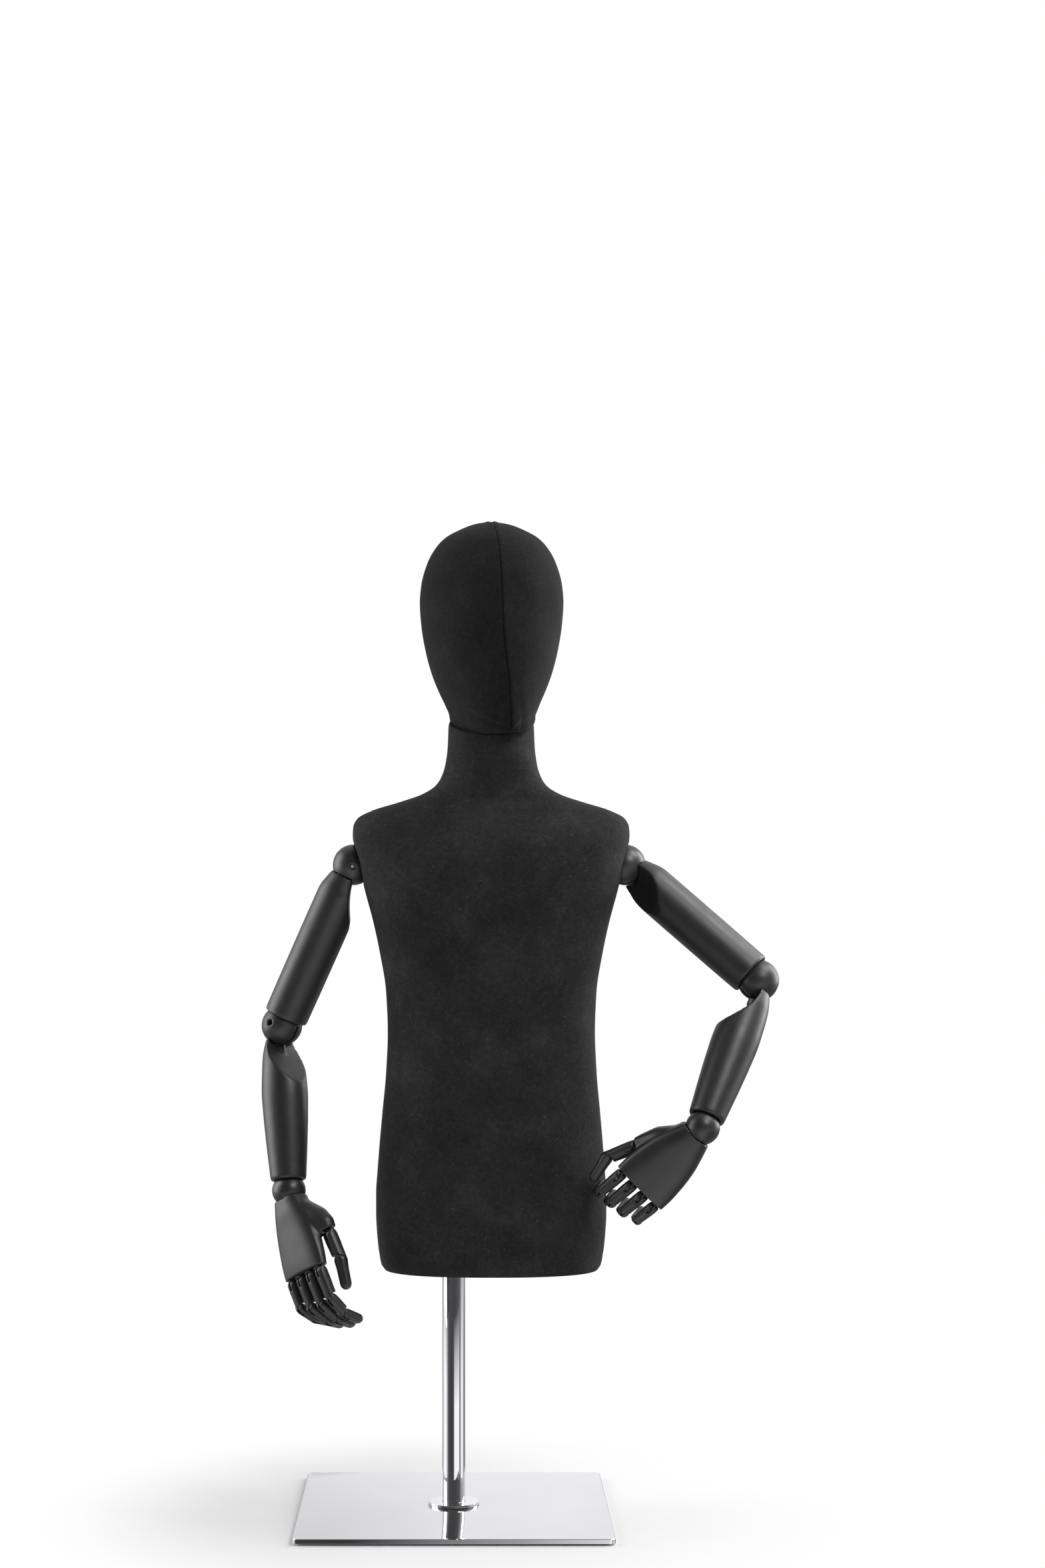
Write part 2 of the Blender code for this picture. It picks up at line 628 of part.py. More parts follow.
# ------------------------------------------------------------- arm pieces
def cup(center, ball_radius, axis):
    return ball("cup", center, ball_radius * CUP_FIT, axis, bands=9)


def pin_span(arm, center, axis, half, blind_half):
    """Both ends of a pin or its hole; a blind one is shorter on the front side."""
    low, high = -half, half
    if arm.blind and axis[1] > 0:
        low = -blind_half
    elif arm.blind:
        high = blind_half
    return center + low * axis, center + high * axis


def cut_hinge(ob, arm, center, axis, pin_axis, hole_radius):
    """Slot for the next limb's tongue, and the pin's hole across it."""
    axes = (axis, np.cross(pin_axis, axis), pin_axis)
    cut(ob, slab("slot", center, axes, (-6.6, -30, -SLOT_HALF_T), (30, 30, SLOT_HALF_T)))
    cut(ob, rod("hole", *pin_span(arm, center, pin_axis, 30, 13.0), hole_radius, 8))


def build_shoulder(arm):
    """Ball cut flat inboard, with a peg into the torso, and its pin."""
    center, outward, pin = arm.shoulder, arm.outward, arm.shoulder_pin
    knob = ball("shoulder_ball_" + arm.side, center, BALL_R, outward)
    cut(knob, slab("trim", center, (outward, pin, np.cross(outward, pin)),
                   (-40, -30, -30), (-10, 30, 30)))
    fuse(knob, rod("peg", center - SHOULDER_PEG_LEN[arm.side] * outward, center - 9.0 * outward,
                   SHOULDER_PEG_R, 14))
    cut_hinge(knob, arm, center, outward, pin, SHOULDER_HOLE_R)
    rod("shoulder_pin_" + arm.side, *pin_span(arm, center, pin, 18.6, 12.6), 2.0, 8)


def build_elbow(arm):
    """Ball with a peg up into the upper arm, and its pin."""
    center, upper, pin = arm.elbow, arm.upper, arm.elbow_pin
    knob = ball("elbow_ball_" + arm.side, center, BALL_R, upper)
    fuse(knob, rod("peg", center - 36 * upper, center - 14 * upper, ELBOW_PEG_R))
    cut_hinge(knob, arm, center, upper, pin, ELBOW_HOLE_R)
    rod("elbow_pin_" + arm.side, *pin_span(arm, center, pin, 18.2, 12.6), 2.4, 8)


def build_wrist(arm):
    """Ball with a peg up into the forearm and a pocket the hand's tongue swings in."""
    center, fore = arm.wrist, arm.fore
    knob = ball("wrist_ball_" + arm.side, center, WRIST_R, fore)
    fuse(knob, rod("peg", center - 30 * fore, center - 11 * fore, WRIST_PEG_R))
    start, end = (math.radians(a) for a in arm.wrist_span)
    middle, swing = (start + end) / 2, (end - start) / 2
    mouth = math.cos(middle) * arm.hand + math.sin(middle) * arm.palmar
    half = WRIST_R * math.sin(swing) + WRIST_TONGUE_HALF * math.cos(swing) + 0.8
    cut(knob, slab("slot", center, (mouth, np.cross(arm.across, mouth), arm.across),
                   (-5.6, -half, -1.5), (25, half, 1.5)))


def limb(name, spec, start, end, axes, scoop_axes):
    """Turned limb with scoop, end cups, peg bore, tongue and pin hole.

    axes: along the limb, across the tongue, along the pin.
    """
    along, _, pin = axes
    ob = turned(name, start, along, spec.profile, 14)
    cut(ob, prism("scoop", start, scoop_axes, spec.scoop, 40))
    cut(ob, cup(start, BALL_R, along))
    cut(ob, cup(end, spec.end_ball_r, along))
    cut(ob, rod("bore", end - spec.bore_depth * along, end, spec.bore_r))
    fuse(ob, slab("tongue", start, axes, (-4.2, -4.2, -TONGUE_HALF_T),
                  (29, spec.tongue_top, TONGUE_HALF_T)))
    cut(ob, rod("hole", start - 8 * pin, start + 8 * pin, spec.hole_r, 8))


def build_upper_arm(arm):
    along, pin = arm.upper, arm.shoulder_pin
    inboard = unit(np.cross(along, pin))
    if np.dot(inboard, arm.outward) > 0:
        inboard = -inboard
    # The scoop faces inboard, turned about the arm towards the front.
    front = pin if pin[1] < 0 else -pin
    twist = math.radians(arm.scoop_twist)
    scoop = math.cos(twist) * inboard + math.sin(twist) * front
    limb("upper_arm_" + arm.side, UPPER_ARM, arm.shoulder, arm.elbow, (along, inboard, pin),
         (along, scoop, np.cross(along, scoop)))


def build_forearm(arm):
    axes = (arm.fore, ortho(-arm.upper, arm.fore), arm.elbow_pin)
    limb("forearm_" + arm.side, FOREARM, arm.elbow, arm.wrist, axes, axes)


def thumb_mound(arm, thumb):
    """Heel of the thumb, from the wrist to the flat face behind the thumb's hinge."""
    n = 12
    along = thumb.direction
    face = thumb.center - (thumb.radius + FINGER_GAP) * along
    axis_x = ortho(arm.across, along)
    axis_y = np.cross(along, axis_x)
    rings = [oval(arm.wrist + 13.0 * arm.hand + 1.5 * arm.across, arm.across, arm.palmar,
                  14.5, 12.0, n, 2.2)]
    # Rounded swelling: (place along the hand, ring radius) as shares of its radius
    swell = 13.6
    center = hand_point(arm, (29, 11, 6))
    for s, k in ((-0.8, 0.6), (-0.35, 0.937), (0.15, 0.989), (0.6, 0.8)):
        rings.append(oval(center + swell * s * arm.hand, arm.across, arm.palmar,
                          swell * k, swell * k * 0.94, n, 2.0))
    rings.append(oval(face - 8 * along, axis_x, axis_y, 8.9, 9.1, n, 2.1))
    rings.append(oval(face, axis_x, axis_y, 7.4, 7.4, n, 2.1))
    return hull("mound", np.vstack(rings))


def hinge_plate(joint, along):
    """Thin plate reaching into the fork of the segment hinged at joint."""
    return slab("plate", joint.center, (along, np.cross(along, joint.axis), joint.axis),
                (-joint.radius - 5.5, -2.6, -0.8), (2.6, 2.6, 0.8))


def build_palm(arm, thumb, fingers):
    rings = [oval(arm.wrist + s * arm.hand, arm.across, arm.palmar,
                  PALM_WIDTH(s), PALM_THICKNESS(s), 16, 2.6) for s in PALM_STATIONS]
    palm = loft("palm_" + arm.side, rings)
    fuse(palm, thumb_mound(arm, thumb))
    cut(palm, cup(arm.wrist, WRIST_R, arm.hand))
    fuse(palm, slab("tongue", arm.wrist, (arm.hand, arm.palmar, arm.across),
                    (-3.7, -WRIST_TONGUE_HALF, -1.1), (24, WRIST_TONGUE_HALF, 1.1)))
    for finger in fingers:
        fuse(palm, hinge_plate(finger, arm.hand))
    fuse(palm, hinge_plate(thumb, thumb.direction))


def build_segment(name, segment, following):
    """Finger segment, forked at its hinge, with a plate for the following one if any."""
    center, axis, along, length, r = segment
    depth = np.cross(along, axis)
    # (distance from the hinge, half depth, half width as a share of r)
    profile = [(-0.97 * r, 0.24 * r, 0.86), (-0.72 * r, 0.69 * r, 0.95), (0.0, r, 1.0)]
    if following is None:
        profile += [(length * 0.55, r * 0.93, 0.95), (length - 0.55 * r, r * 0.74, 0.80),
                    (length, r * 0.30, 0.40)]
    else:
        tip = following.radius
        tilt = abs(np.dot(along, following.axis))
        end = length - tip - 0.45 - tip * tilt * 1.1
        profile += [(end * 0.5, r * 0.97, 0.97), (end, tip, tip / r)]
    ob = loft(name, [oval(center + s * along, axis, depth, r * share, half, 8, 2.5)
                     for s, half, share in profile])
    if following is not None:
        fuse(ob, hinge_plate(following, ortho(along, following.axis)))
    cut(ob, slab("fork", center, (along, depth, axis), (-r - 2, -r - 2, -1.2),
                 (4.3, r + 2, 1.2)))


def build_arm(arm):
    build_shoulder(arm)
    build_upper_arm(arm)
    build_elbow(arm)
    build_forearm(arm)
    build_wrist(arm)
    chains = digits(arm)
    thumb, *fingers = [chain[0][1] for chain in chains]
    build_palm(arm, thumb, fingers)
    for chain in chains:
        followers = [segment for _, segment in chain[1:]] + [None]
        for (name, segment), following in zip(chain, followers):
            build_segment(name, segment, following)


# ------------------------------------------------------------- joints and finishes
FINISHES = {
    "jersey": dict(color=(0.018, 0.018, 0.019), roughness=0.92, metallic=0.0),
    "fibreglass": dict(color=(0.30, 0.27, 0.20), roughness=0.7, metallic=0.0),
    "ply": dict(color=(0.50, 0.37, 0.22), roughness=0.7, metallic=0.0),
    "black_wood": dict(color=(0.022, 0.022, 0.023), roughness=0.42, metallic=0.0),
    "chrome": dict(color=(0.78, 0.78, 0.79), roughness=0.06, metallic=1.0),
    "steel": dict(color=(0.45, 0.45, 0.46), roughness=0.35, metallic=1.0),
    "pad": dict(color=(0.02, 0.02, 0.02), roughness=0.9, metallic=0.0),
}
# joint: (parent joint, place)
JOINTS = {
    "stand": (None, ORIGIN),
    "collar": ("stand", vec(0, 0, COLLAR_Z)),
    "collar_screw": ("collar", vec(0, 18, COLLAR_Z)),
    "torso": ("collar", vec(0, 0, 240)),
    "head": ("torso", NECK_CENTER),
}
# part: (joint, finish)
PARTS = {
    "base_plate": ("stand", "chrome"),
    "base_pad": ("stand", "pad"),
    "pole_flange": ("stand", "chrome"),
    "pole_tube": ("stand", "chrome"),
    "base_bolt": ("stand", "steel"),
    "height_collar": ("collar", "steel"),
    "collar_screw": ("collar_screw", "steel"),
    "torso_cover": ("torso", "jersey"),
    "torso_shell": ("torso", "fibreglass"),
    "base_board": ("torso", "ply"),
    "pole_socket": ("torso", "steel"),
    "head_cover": ("head", "jersey"),
    "head_core": ("head", "fibreglass"),
    "head_spigot": ("head", "steel"),
}


def list_arm(arm):
    """Enter one arm's joints and parts in the tables."""
    end = "_" + arm.side
    parent = "torso"
    for joint, place in (("shoulder", arm.shoulder), ("upper_arm", arm.shoulder),
                         ("elbow", arm.elbow), ("forearm", arm.elbow),
                         ("wrist", arm.wrist), ("hand", arm.wrist)):
        JOINTS[joint + end] = (parent, place)
        parent = joint + end
    for part, joint in (("upper_arm", "upper_arm"), ("forearm", "forearm"), ("palm", "hand"),
                        ("shoulder_ball", "shoulder"), ("elbow_ball", "elbow"),
                        ("wrist_ball", "wrist")):
        PARTS[part + end] = (joint + end, "black_wood")
    PARTS["shoulder_mount" + end] = ("torso", "steel")
    for joint in ("shoulder", "elbow"):
        PARTS[joint + "_pin" + end] = (joint + end, "steel")
    for chain in digits(arm):
        parent = "hand" + end
        for name, segment in chain:
            JOINTS[name] = (parent, segment.center)
            PARTS[name] = (name, "black_wood")
            parent = name


def add_joints():
    """One empty per joint, parented in a chain; returns them by joint name."""
    empties = {}
    for name, (parent, place) in JOINTS.items():
        empty = bpy.data.objects.new("axis_" + name, None)
        bpy.context.scene.collection.objects.link(empty)
        empty.empty_display_size = 0.02
        if parent:
            empty.parent = empties[parent]
            place = place - JOINTS[parent][1]
        empty.location = Vector(place * MM)
        empties[name] = empty
    return empties


def material(name, color, roughness, metallic):
    mat = bpy.data.materials.new(name)
    mat.use_nodes = True
    shader = mat.node_tree.nodes.get("Principled BSDF")
    shader.inputs["Base Color"].default_value = (*color, 1.0)
    shader.inputs["Roughness"].default_value = roughness
    shader.inputs["Metallic"].default_value = metallic
    mat.diffuse_color = (*color, 1.0)
    return mat


def attach_part(name, joint, finish, empties):
    """Move a part's origin to its joint, then shade, parent and finish it."""
    ob = bpy.data.objects[name]
    mesh = ob.data
    mesh.transform(Matrix.Translation(-Vector(JOINTS[joint][1] * MM)))
    mesh.name = name
    mesh.shade_smooth()
    mesh.set_sharp_from_angle(angle=math.radians(32))
    ob.parent = empties[joint]
    mesh.materials.clear()
    mesh.materials.append(material("mat_" + name, **FINISHES[finish]))


def main():
    for ob in list(bpy.data.objects):
        bpy.data.objects.remove(ob, do_unlink=True)
    build_base()
    build_pole()
    build_collar()
    build_torso()
    build_torso_base()
    build_head()
    for arm in ARMS.values():
        build_arm(arm)
        list_arm(arm)
    empties = add_joints()
    for name, (joint, finish) in PARTS.items():
        attach_part(name, joint, finish, empties)


main()
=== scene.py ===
"""Child dress form on a pole stand, with a jersey torso and head and jointed wooden arms.

The pole stands on the Z axis, the form faces -Y and its right arm is on the -X side.
Lengths are millimetres and meshes are metres; shaders, lights and camera use metres too.
"""
import math
from collections import namedtuple
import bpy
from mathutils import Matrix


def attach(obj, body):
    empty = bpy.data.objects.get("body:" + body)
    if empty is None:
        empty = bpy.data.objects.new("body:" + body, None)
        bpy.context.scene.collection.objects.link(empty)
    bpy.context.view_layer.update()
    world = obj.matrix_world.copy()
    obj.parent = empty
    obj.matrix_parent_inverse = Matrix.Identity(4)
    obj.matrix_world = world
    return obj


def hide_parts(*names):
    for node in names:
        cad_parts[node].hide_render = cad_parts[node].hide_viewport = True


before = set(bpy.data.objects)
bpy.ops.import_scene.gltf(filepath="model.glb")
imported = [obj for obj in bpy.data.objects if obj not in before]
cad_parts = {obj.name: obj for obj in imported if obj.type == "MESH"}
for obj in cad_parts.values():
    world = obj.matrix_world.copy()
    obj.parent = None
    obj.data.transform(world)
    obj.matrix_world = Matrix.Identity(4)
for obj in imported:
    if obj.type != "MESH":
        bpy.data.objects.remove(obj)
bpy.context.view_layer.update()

from types import SimpleNamespace

import bmesh
import bpy
import numpy as np
from mathutils import Matrix, Vector, noise

MM = 0.001
SCENE = bpy.context.scene.collection


def vec(*values):
    return np.array(values, float)


# ------------------------------------------------------------- dimensions
ORIGIN, UP, DOWN = vec(0, 0, 0), vec(0, 0, 1), vec(0, 0, -1)

BASE_SIDE = 300.0
BASE_CORNER_R = 6
BASE_TOP = 6.0
PLATE_T = 4.8
POLE_R = 11.0
POLE_BORE_R = 9.0
POLE_TOP = 420.0
POLE_FOOT = BASE_TOP + 0.3
FLANGE_R = 25.0
COLLAR_Z = 235.4          # middle of the height collar

TORSO_X = 36.5            # the pole enters the form off centre
TORSO_TOP = 770.0
HEM_Z = 238.0
TILT_START = 716          # rings above this lean towards the neck plane
NECK_Z = 769.8            # neck plane height over the pole axis
NECK_SLOPE = 0.3156       # neck plane falls towards the front
NECK_NORMAL = vec(0, -NECK_SLOPE, 1)
NECK_GAP = 0.5            # between the torso and head cloths
HEAD_X = 36.8
COVER_T = 1.2

SHOULDER_Z = 630.5
SHOULDER_OFF = 133.0
SHOULDER_MID_X = TORSO_X - 2.0
BALL_R = 20.0
WRIST_R = 16.3
BALL_CUP_R = BALL_R * 1.03
WRIST_CUP_R = WRIST_R * 1.035
SHOULDER_HOLE_R = 2.55
ELBOW_HOLE_R = 2.95
UPPER_LEN = 173.0
FORE_LEN = 163.5

PALM_START = 8.6          # distances from the wrist centre
PALM_LEN = 83.5
WRIST_TONGUE_HALF = 3.5
KNUCKLE_GAP = 0.5
FINGER_PITCH = 14.4
HINGE_R = 2.6             # plate that enters the fork of the next finger part
HINGE_HALF_T = 0.8
HINGE_ROOT = 5.5          # how far the plate runs back beyond the knuckle radius

LIMB_VOXEL = 1.15
BALL_VOXEL = LIMB_VOXEL * 0.8
PROFILE_STEP = 1.6


# ------------------------------------------------------------- geometry
def unit(vector):
    vector = np.asarray(vector, float)
    return vector / np.linalg.norm(vector)


def ortho(vector, ref):
    """vector made square to the unit vector ref."""
    return unit(vector - np.dot(vector, ref) * ref)


NECK_NORMAL = unit(NECK_NORMAL)


def curve(stations):
    """Monotone cubic through (position, value) stations."""
    table = np.array(stations, float)
    pos, val = table[:, 0], table[:, 1]
    step = np.diff(pos)
    slope = np.diff(val) / step
    tangent = np.zeros(len(pos))
    tangent[0], tangent[-1] = slope[0], slope[-1]
    for i in range(1, len(pos) - 1):
        if slope[i - 1] * slope[i] > 0:
            before, after = 2 * step[i] + step[i - 1], step[i] + 2 * step[i - 1]
            tangent[i] = (before + after) / (before / slope[i - 1] + after / slope[i])

    def value_at(x):
        x = min(max(x, pos[0]), pos[-1])
        i = int(min(np.searchsorted(pos, x, side="right") - 1, len(pos) - 2))
        t = (x - pos[i]) / step[i]
        return ((2 * t**3 - 3 * t**2 + 1) * val[i]
                + (t**3 - 2 * t**2 + t) * step[i] * tangent[i]
                + (-2 * t**3 + 3 * t**2) * val[i + 1]
                + (t**3 - t**2) * step[i] * tangent[i + 1])
    return value_at


def sampled(stations, count=None):
    """Points on the curve through the stations, PROFILE_STEP apart if no count is given."""
    start, end = stations[0][0], stations[-1][0]
    if count is None:
        count = int((end - start) / PROFILE_STEP)
    value_at = curve(stations)
    return [(float(x), float(value_at(x))) for x in np.linspace(start, end, count)]


def gauss(distance, width):
    return np.exp(-(distance / width) ** 2)


def clamp01(value):
    return min(max(value, 0.0), 1.0)


def ring_angles(count, peaks=()):
    """Angles round a ring, closer together near each peak (degrees, gain, width)."""
    fine = np.linspace(0, 2 * math.pi, 7201)
    density = np.ones_like(fine)
    for degrees, gain, width in peaks:
        away = np.abs((np.degrees(fine) - degrees + 180) % 360 - 180)
        density += gain * np.exp(-(away / width) ** 2)
    total = np.concatenate([[0], np.cumsum((density[1:] + density[:-1]) / 2)])
    return np.interp(np.arange(count) / count * total[-1], total, fine)


def oval(centre, across, depth, half_across, half_depth, count, power):
    """Superellipse ring; a higher power is squarer."""
    ring = []
    for j in range(count):
        angle = 2 * math.pi * (j + 0.5) / count
        cos, sin = math.cos(angle), math.sin(angle)
        ring.append(centre + half_across * math.copysign(abs(cos) ** (2 / power), cos) * across
                    + half_depth * math.copysign(abs(sin) ** (2 / power), sin) * depth)
    return np.array(ring)


def outward(points):
    """Unit normals of a grid of rings, pointing away from the ring centres."""
    along = np.gradient(points, axis=0)
    around = np.roll(points, -1, axis=1) - np.roll(points, 1, axis=1)
    normals = np.cross(around, along)
    normals /= np.linalg.norm(normals, axis=2, keepdims=True) + 1e-9
    if np.sum(normals * (points - points.mean(axis=1, keepdims=True))) < 0:
        normals = -normals
    return normals


def inset(rings, depth, end_planes):
    """Rings moved inwards; an end ring with a plane normal stays in its plane."""
    points = np.array(rings)
    normals = outward(points)
    for i, plane in zip((0, -1), end_planes):
        if plane is not None:
            normals[i] = normals[i] - (normals[i] @ plane)[:, None] * plane
            normals[i] /= np.linalg.norm(normals[i], axis=1, keepdims=True)
    return [points[i] - depth * normals[i] for i in range(len(points))]


def displaced(points, relief):
    return list(points + outward(points) * relief[:, :, None])


def unevenness(points, scale):
    return np.array([[noise.noise(Vector(point * scale)) for point in ring] for ring in points])


# ------------------------------------------------------------- mesh tools
def new_object(name, verts, faces):
    mesh = bpy.data.meshes.new(name)
    mesh.from_pydata((np.asarray(verts, float) * MM).tolist(), [], faces)
    bm = bmesh.new()
    bm.from_mesh(mesh)
    bmesh.ops.recalc_face_normals(bm, faces=bm.faces)
    bm.to_mesh(mesh)
    bm.free()
    ob = bpy.data.objects.new(name, mesh)
    SCENE.objects.link(ob)
    return ob


def loft(name, rings, loop=False):
    """Skin over rings, capped at both ends or joined last to first."""
    n, rows = len(rings[0]), len(rings)
    faces = []
    for i in range(rows if loop else rows - 1):
        a, b = i * n, ((i + 1) % rows) * n
        faces += [(a + j, a + (j + 1) % n, b + (j + 1) % n, b + j) for j in range(n)]
    if not loop:
        faces.append(tuple(range(n - 1, -1, -1)))
        faces.append(tuple((rows - 1) * n + j for j in range(n)))
    return new_object(name, np.vstack(rings), faces)


def basis(axis):
    along = unit(axis)
    ref = vec(0, 0, 1) if abs(along[2]) < 0.9 else vec(0, 1, 0)
    first = unit(np.cross(ref, along))
    return first, np.cross(along, first), along


def turned(name, origin, axis, profile, count=96, loop=False, axes=None):
    """Turned piece; the profile is (distance along the axis, radius or column of radii)."""
    first, second, along = axes or basis(axis)
    t = np.arange(count) * 2 * math.pi / count
    circle = np.cos(t)[:, None] * first + np.sin(t)[:, None] * second
    return loft(name, [origin + s * along + r * circle for s, r in profile], loop)


def rod(name, start, end, radius, count=48):
    way = end - start
    return turned(name, start, way, [(0, radius), (float(np.linalg.norm(way)), radius)], count)


def ball(name, centre, radius, axis, count=96, rows=48):
    profile = [(-radius * 0.99999, radius * 0.004)]
    profile += [(-radius * math.cos(math.pi * i / rows), radius * math.sin(math.pi * i / rows))
                for i in range(1, rows)]
    profile += [(radius * 0.99999, radius * 0.004)]
    return turned(name, centre, axis, profile, count)


def slab(name, centre, axes, low, high):
    """Box between two corners given along its own axes."""
    corners = [centre + (high if i & 1 else low)[0] * axes[0]
               + (high if i & 2 else low)[1] * axes[1]
               + (high if i & 4 else low)[2] * axes[2] for i in range(8)]
    faces = [(0, 2, 3, 1), (4, 5, 7, 6), (0, 1, 5, 4), (2, 6, 7, 3), (0, 4, 6, 2), (1, 3, 7, 5)]
    return new_object(name, corners, faces)


def prism(name, centre, axes, outline, half):
    """Outline in the first two axes, drawn out both ways along the third."""
    return loft(name, [np.array([centre + x * axes[0] + y * axes[1] + z * axes[2]
                                 for x, y in outline]) for z in (-half, half)])


def hull(name, points):
    bm = bmesh.new()
    for point in points:
        bm.verts.new([float(x) for x in point])
    bmesh.ops.convex_hull(bm, input=list(bm.verts), use_existing_faces=False)
    loose = [v for v in bm.verts if not v.link_faces]
    bmesh.ops.delete(bm, geom=loose, context="VERTS")
    bm.verts.index_update()
    verts = [tuple(v.co) for v in bm.verts]
    faces = [tuple(v.index for v in f.verts) for f in bm.faces]
    bm.free()
    return new_object(name, verts, faces)


def open_edges(mesh):
    bm = bmesh.new()
    bm.from_mesh(mesh)
    bad = sum(1 for e in bm.edges if len(e.link_faces) != 2)
    bm.free()
    return bad


def evaluated(ob):
    depsgraph = bpy.context.evaluated_depsgraph_get()
    return bpy.data.meshes.new_from_object(ob.evaluated_get(depsgraph))


def swap_mesh(ob, mesh):
    old = ob.data
    ob.modifiers.clear()
    ob.data = mesh
    bpy.data.meshes.remove(old)


def boolean(ob, tool, operation="DIFFERENCE"):
    """Applies the tool, nudging it or changing solver until the result is closed."""
    for solver in ("EXACT", "MANIFOLD"):
        for nudge in ((0, 0, 0), (0.013, 0.007, -0.011), (-0.017, 0.012, 0.009)):
            tool.location = Vector(nudge) * MM
            mod = ob.modifiers.new(operation, "BOOLEAN")
            mod.operation, mod.object, mod.solver = operation, tool, solver
            mesh = evaluated(ob)
            if len(mesh.polygons) and open_edges(mesh) == 0:
                swap_mesh(ob, mesh)
                bpy.data.objects.remove(tool, do_unlink=True)
                return
            ob.modifiers.clear()
            bpy.data.meshes.remove(mesh)
    raise RuntimeError("boolean failed on " + ob.name + " with " + tool.name)


def remesh(ob, voxel, smooth_steps, origin, axes):
    """Even skin of fine quads, laid along the piece's own axes, with softened edges."""
    rows = [[axes[0][i], axes[1][i], axes[2][i], origin[i] * MM] for i in range(3)]
    placing = Matrix(rows + [[0, 0, 0, 1]])
    ob.data.transform(placing.inverted())
    skin = ob.modifiers.new("skin", "REMESH")
    skin.mode, skin.voxel_size = "VOXEL", voxel * MM
    skin.adaptivity, skin.use_smooth_shade = 0.0, True
    soften = ob.modifiers.new("soften", "SMOOTH")
    soften.factor, soften.iterations = 0.5, smooth_steps
    swap_mesh(ob, evaluated(ob))
    ob.data.transform(placing)
    ob.data.shade_smooth()


def shade(ob, sharp_degrees):
    ob.data.shade_smooth()
    ob.data.set_sharp_from_angle(angle=math.radians(sharp_degrees))


def round_edges(ob, width, degrees):
    bevel = ob.modifiers.new("edges", "BEVEL")
    bevel.width, bevel.segments = width * MM, 2
    bevel.limit_method, bevel.angle_limit = "ANGLE", math.radians(degrees)
    bevel.use_clamp_overlap = True
    swap_mesh(ob, evaluated(ob))
    shade(ob, 40)


def vertex_array(mesh):
    coords = np.empty(len(mesh.vertices) * 3, np.float32)
    mesh.vertices.foreach_get("co", coords)
    return coords.reshape(-1, 3)


def store_grain(ob, origin, axes):
    """Stores each vertex's place in the piece's own frame, squeezed along the grain."""
    place = (vertex_array(ob.data) - np.array(origin) * MM) @ np.array(axes, np.float32).T
    place[:, 0] *= 0.06
    grain = ob.data.attributes.new("grain", "FLOAT_VECTOR", "POINT")
    grain.data.foreach_set("vector", place.astype(np.float32).ravel())


def store_seam(ob, mask):
    seam = ob.data.attributes.new("seam", "FLOAT", "POINT")
    seam.data.foreach_set("value", mask.astype(np.float32))


# ------------------------------------------------------------- shader tools
def connect(tree, socket, value):
    """Links a socket to another one, or sets its plain value."""
    if isinstance(value, bpy.types.NodeSocket):
        tree.links.new(value, socket)
    else:
        socket.default_value = value


def set_node(tree, node, **values):
    """Sets inputs (underscores stand for spaces) and other properties of a node."""
    for key, value in values.items():
        socket = key.replace("_", " ")
        if socket in node.inputs.keys():
            connect(tree, node.inputs[socket], value)
        else:
            setattr(node, key, value)


def add_node(tree, kind, **values):
    node = tree.nodes.new("ShaderNode" + kind)
    set_node(tree, node, **values)
    return node


def new_material(name):
    material = bpy.data.materials.new(name)
    material.use_nodes = True
    tree = material.node_tree
    return material, tree, tree.nodes.get("Principled BSDF")


def grey(value):
    return (value, value, value * 1.02, 1.0)


def ramp(tree, factor, stops):
    """Colour ramp; a stop is (position, colour or grey level)."""
    node = add_node(tree, "ValToRGB", Fac=factor)
    elements = node.color_ramp.elements
    while len(elements) > 1:
        elements.remove(elements[-1])
    for i, (position, colour) in enumerate(stops):
        element = elements[0] if i == 0 else elements.new(position)
        element.position = position
        element.color = colour if isinstance(colour, tuple) else grey(colour)
    return node.outputs["Color"]


def math_node(tree, operation, first, second):
    node = add_node(tree, "Math", operation=operation)
    connect(tree, node.inputs[0], first)
    connect(tree, node.inputs[1], second)
    return node.outputs[0]


def mix(tree, factor, first, second, blend="MIX"):
    node = add_node(tree, "Mix", data_type="RGBA", blend_type=blend)
    for index, value in ((0, factor), (6, first), (7, second)):
        connect(tree, node.inputs[index], value)
    return node.outputs[2]


def object_coords(tree):
    return add_node(tree, "TexCoord").outputs["Object"]


def mapping(tree, vector, **values):
    return add_node(tree, "Mapping", Vector=vector, **values).outputs["Vector"]


def noise_texture(tree, vector, **values):
    return add_node(tree, "TexNoise", Vector=vector, **values).outputs["Fac"]


def bump(tree, height, strength, distance):
    node = add_node(tree, "Bump", Strength=strength, Distance=distance, Height=height)
    return node.outputs["Normal"]


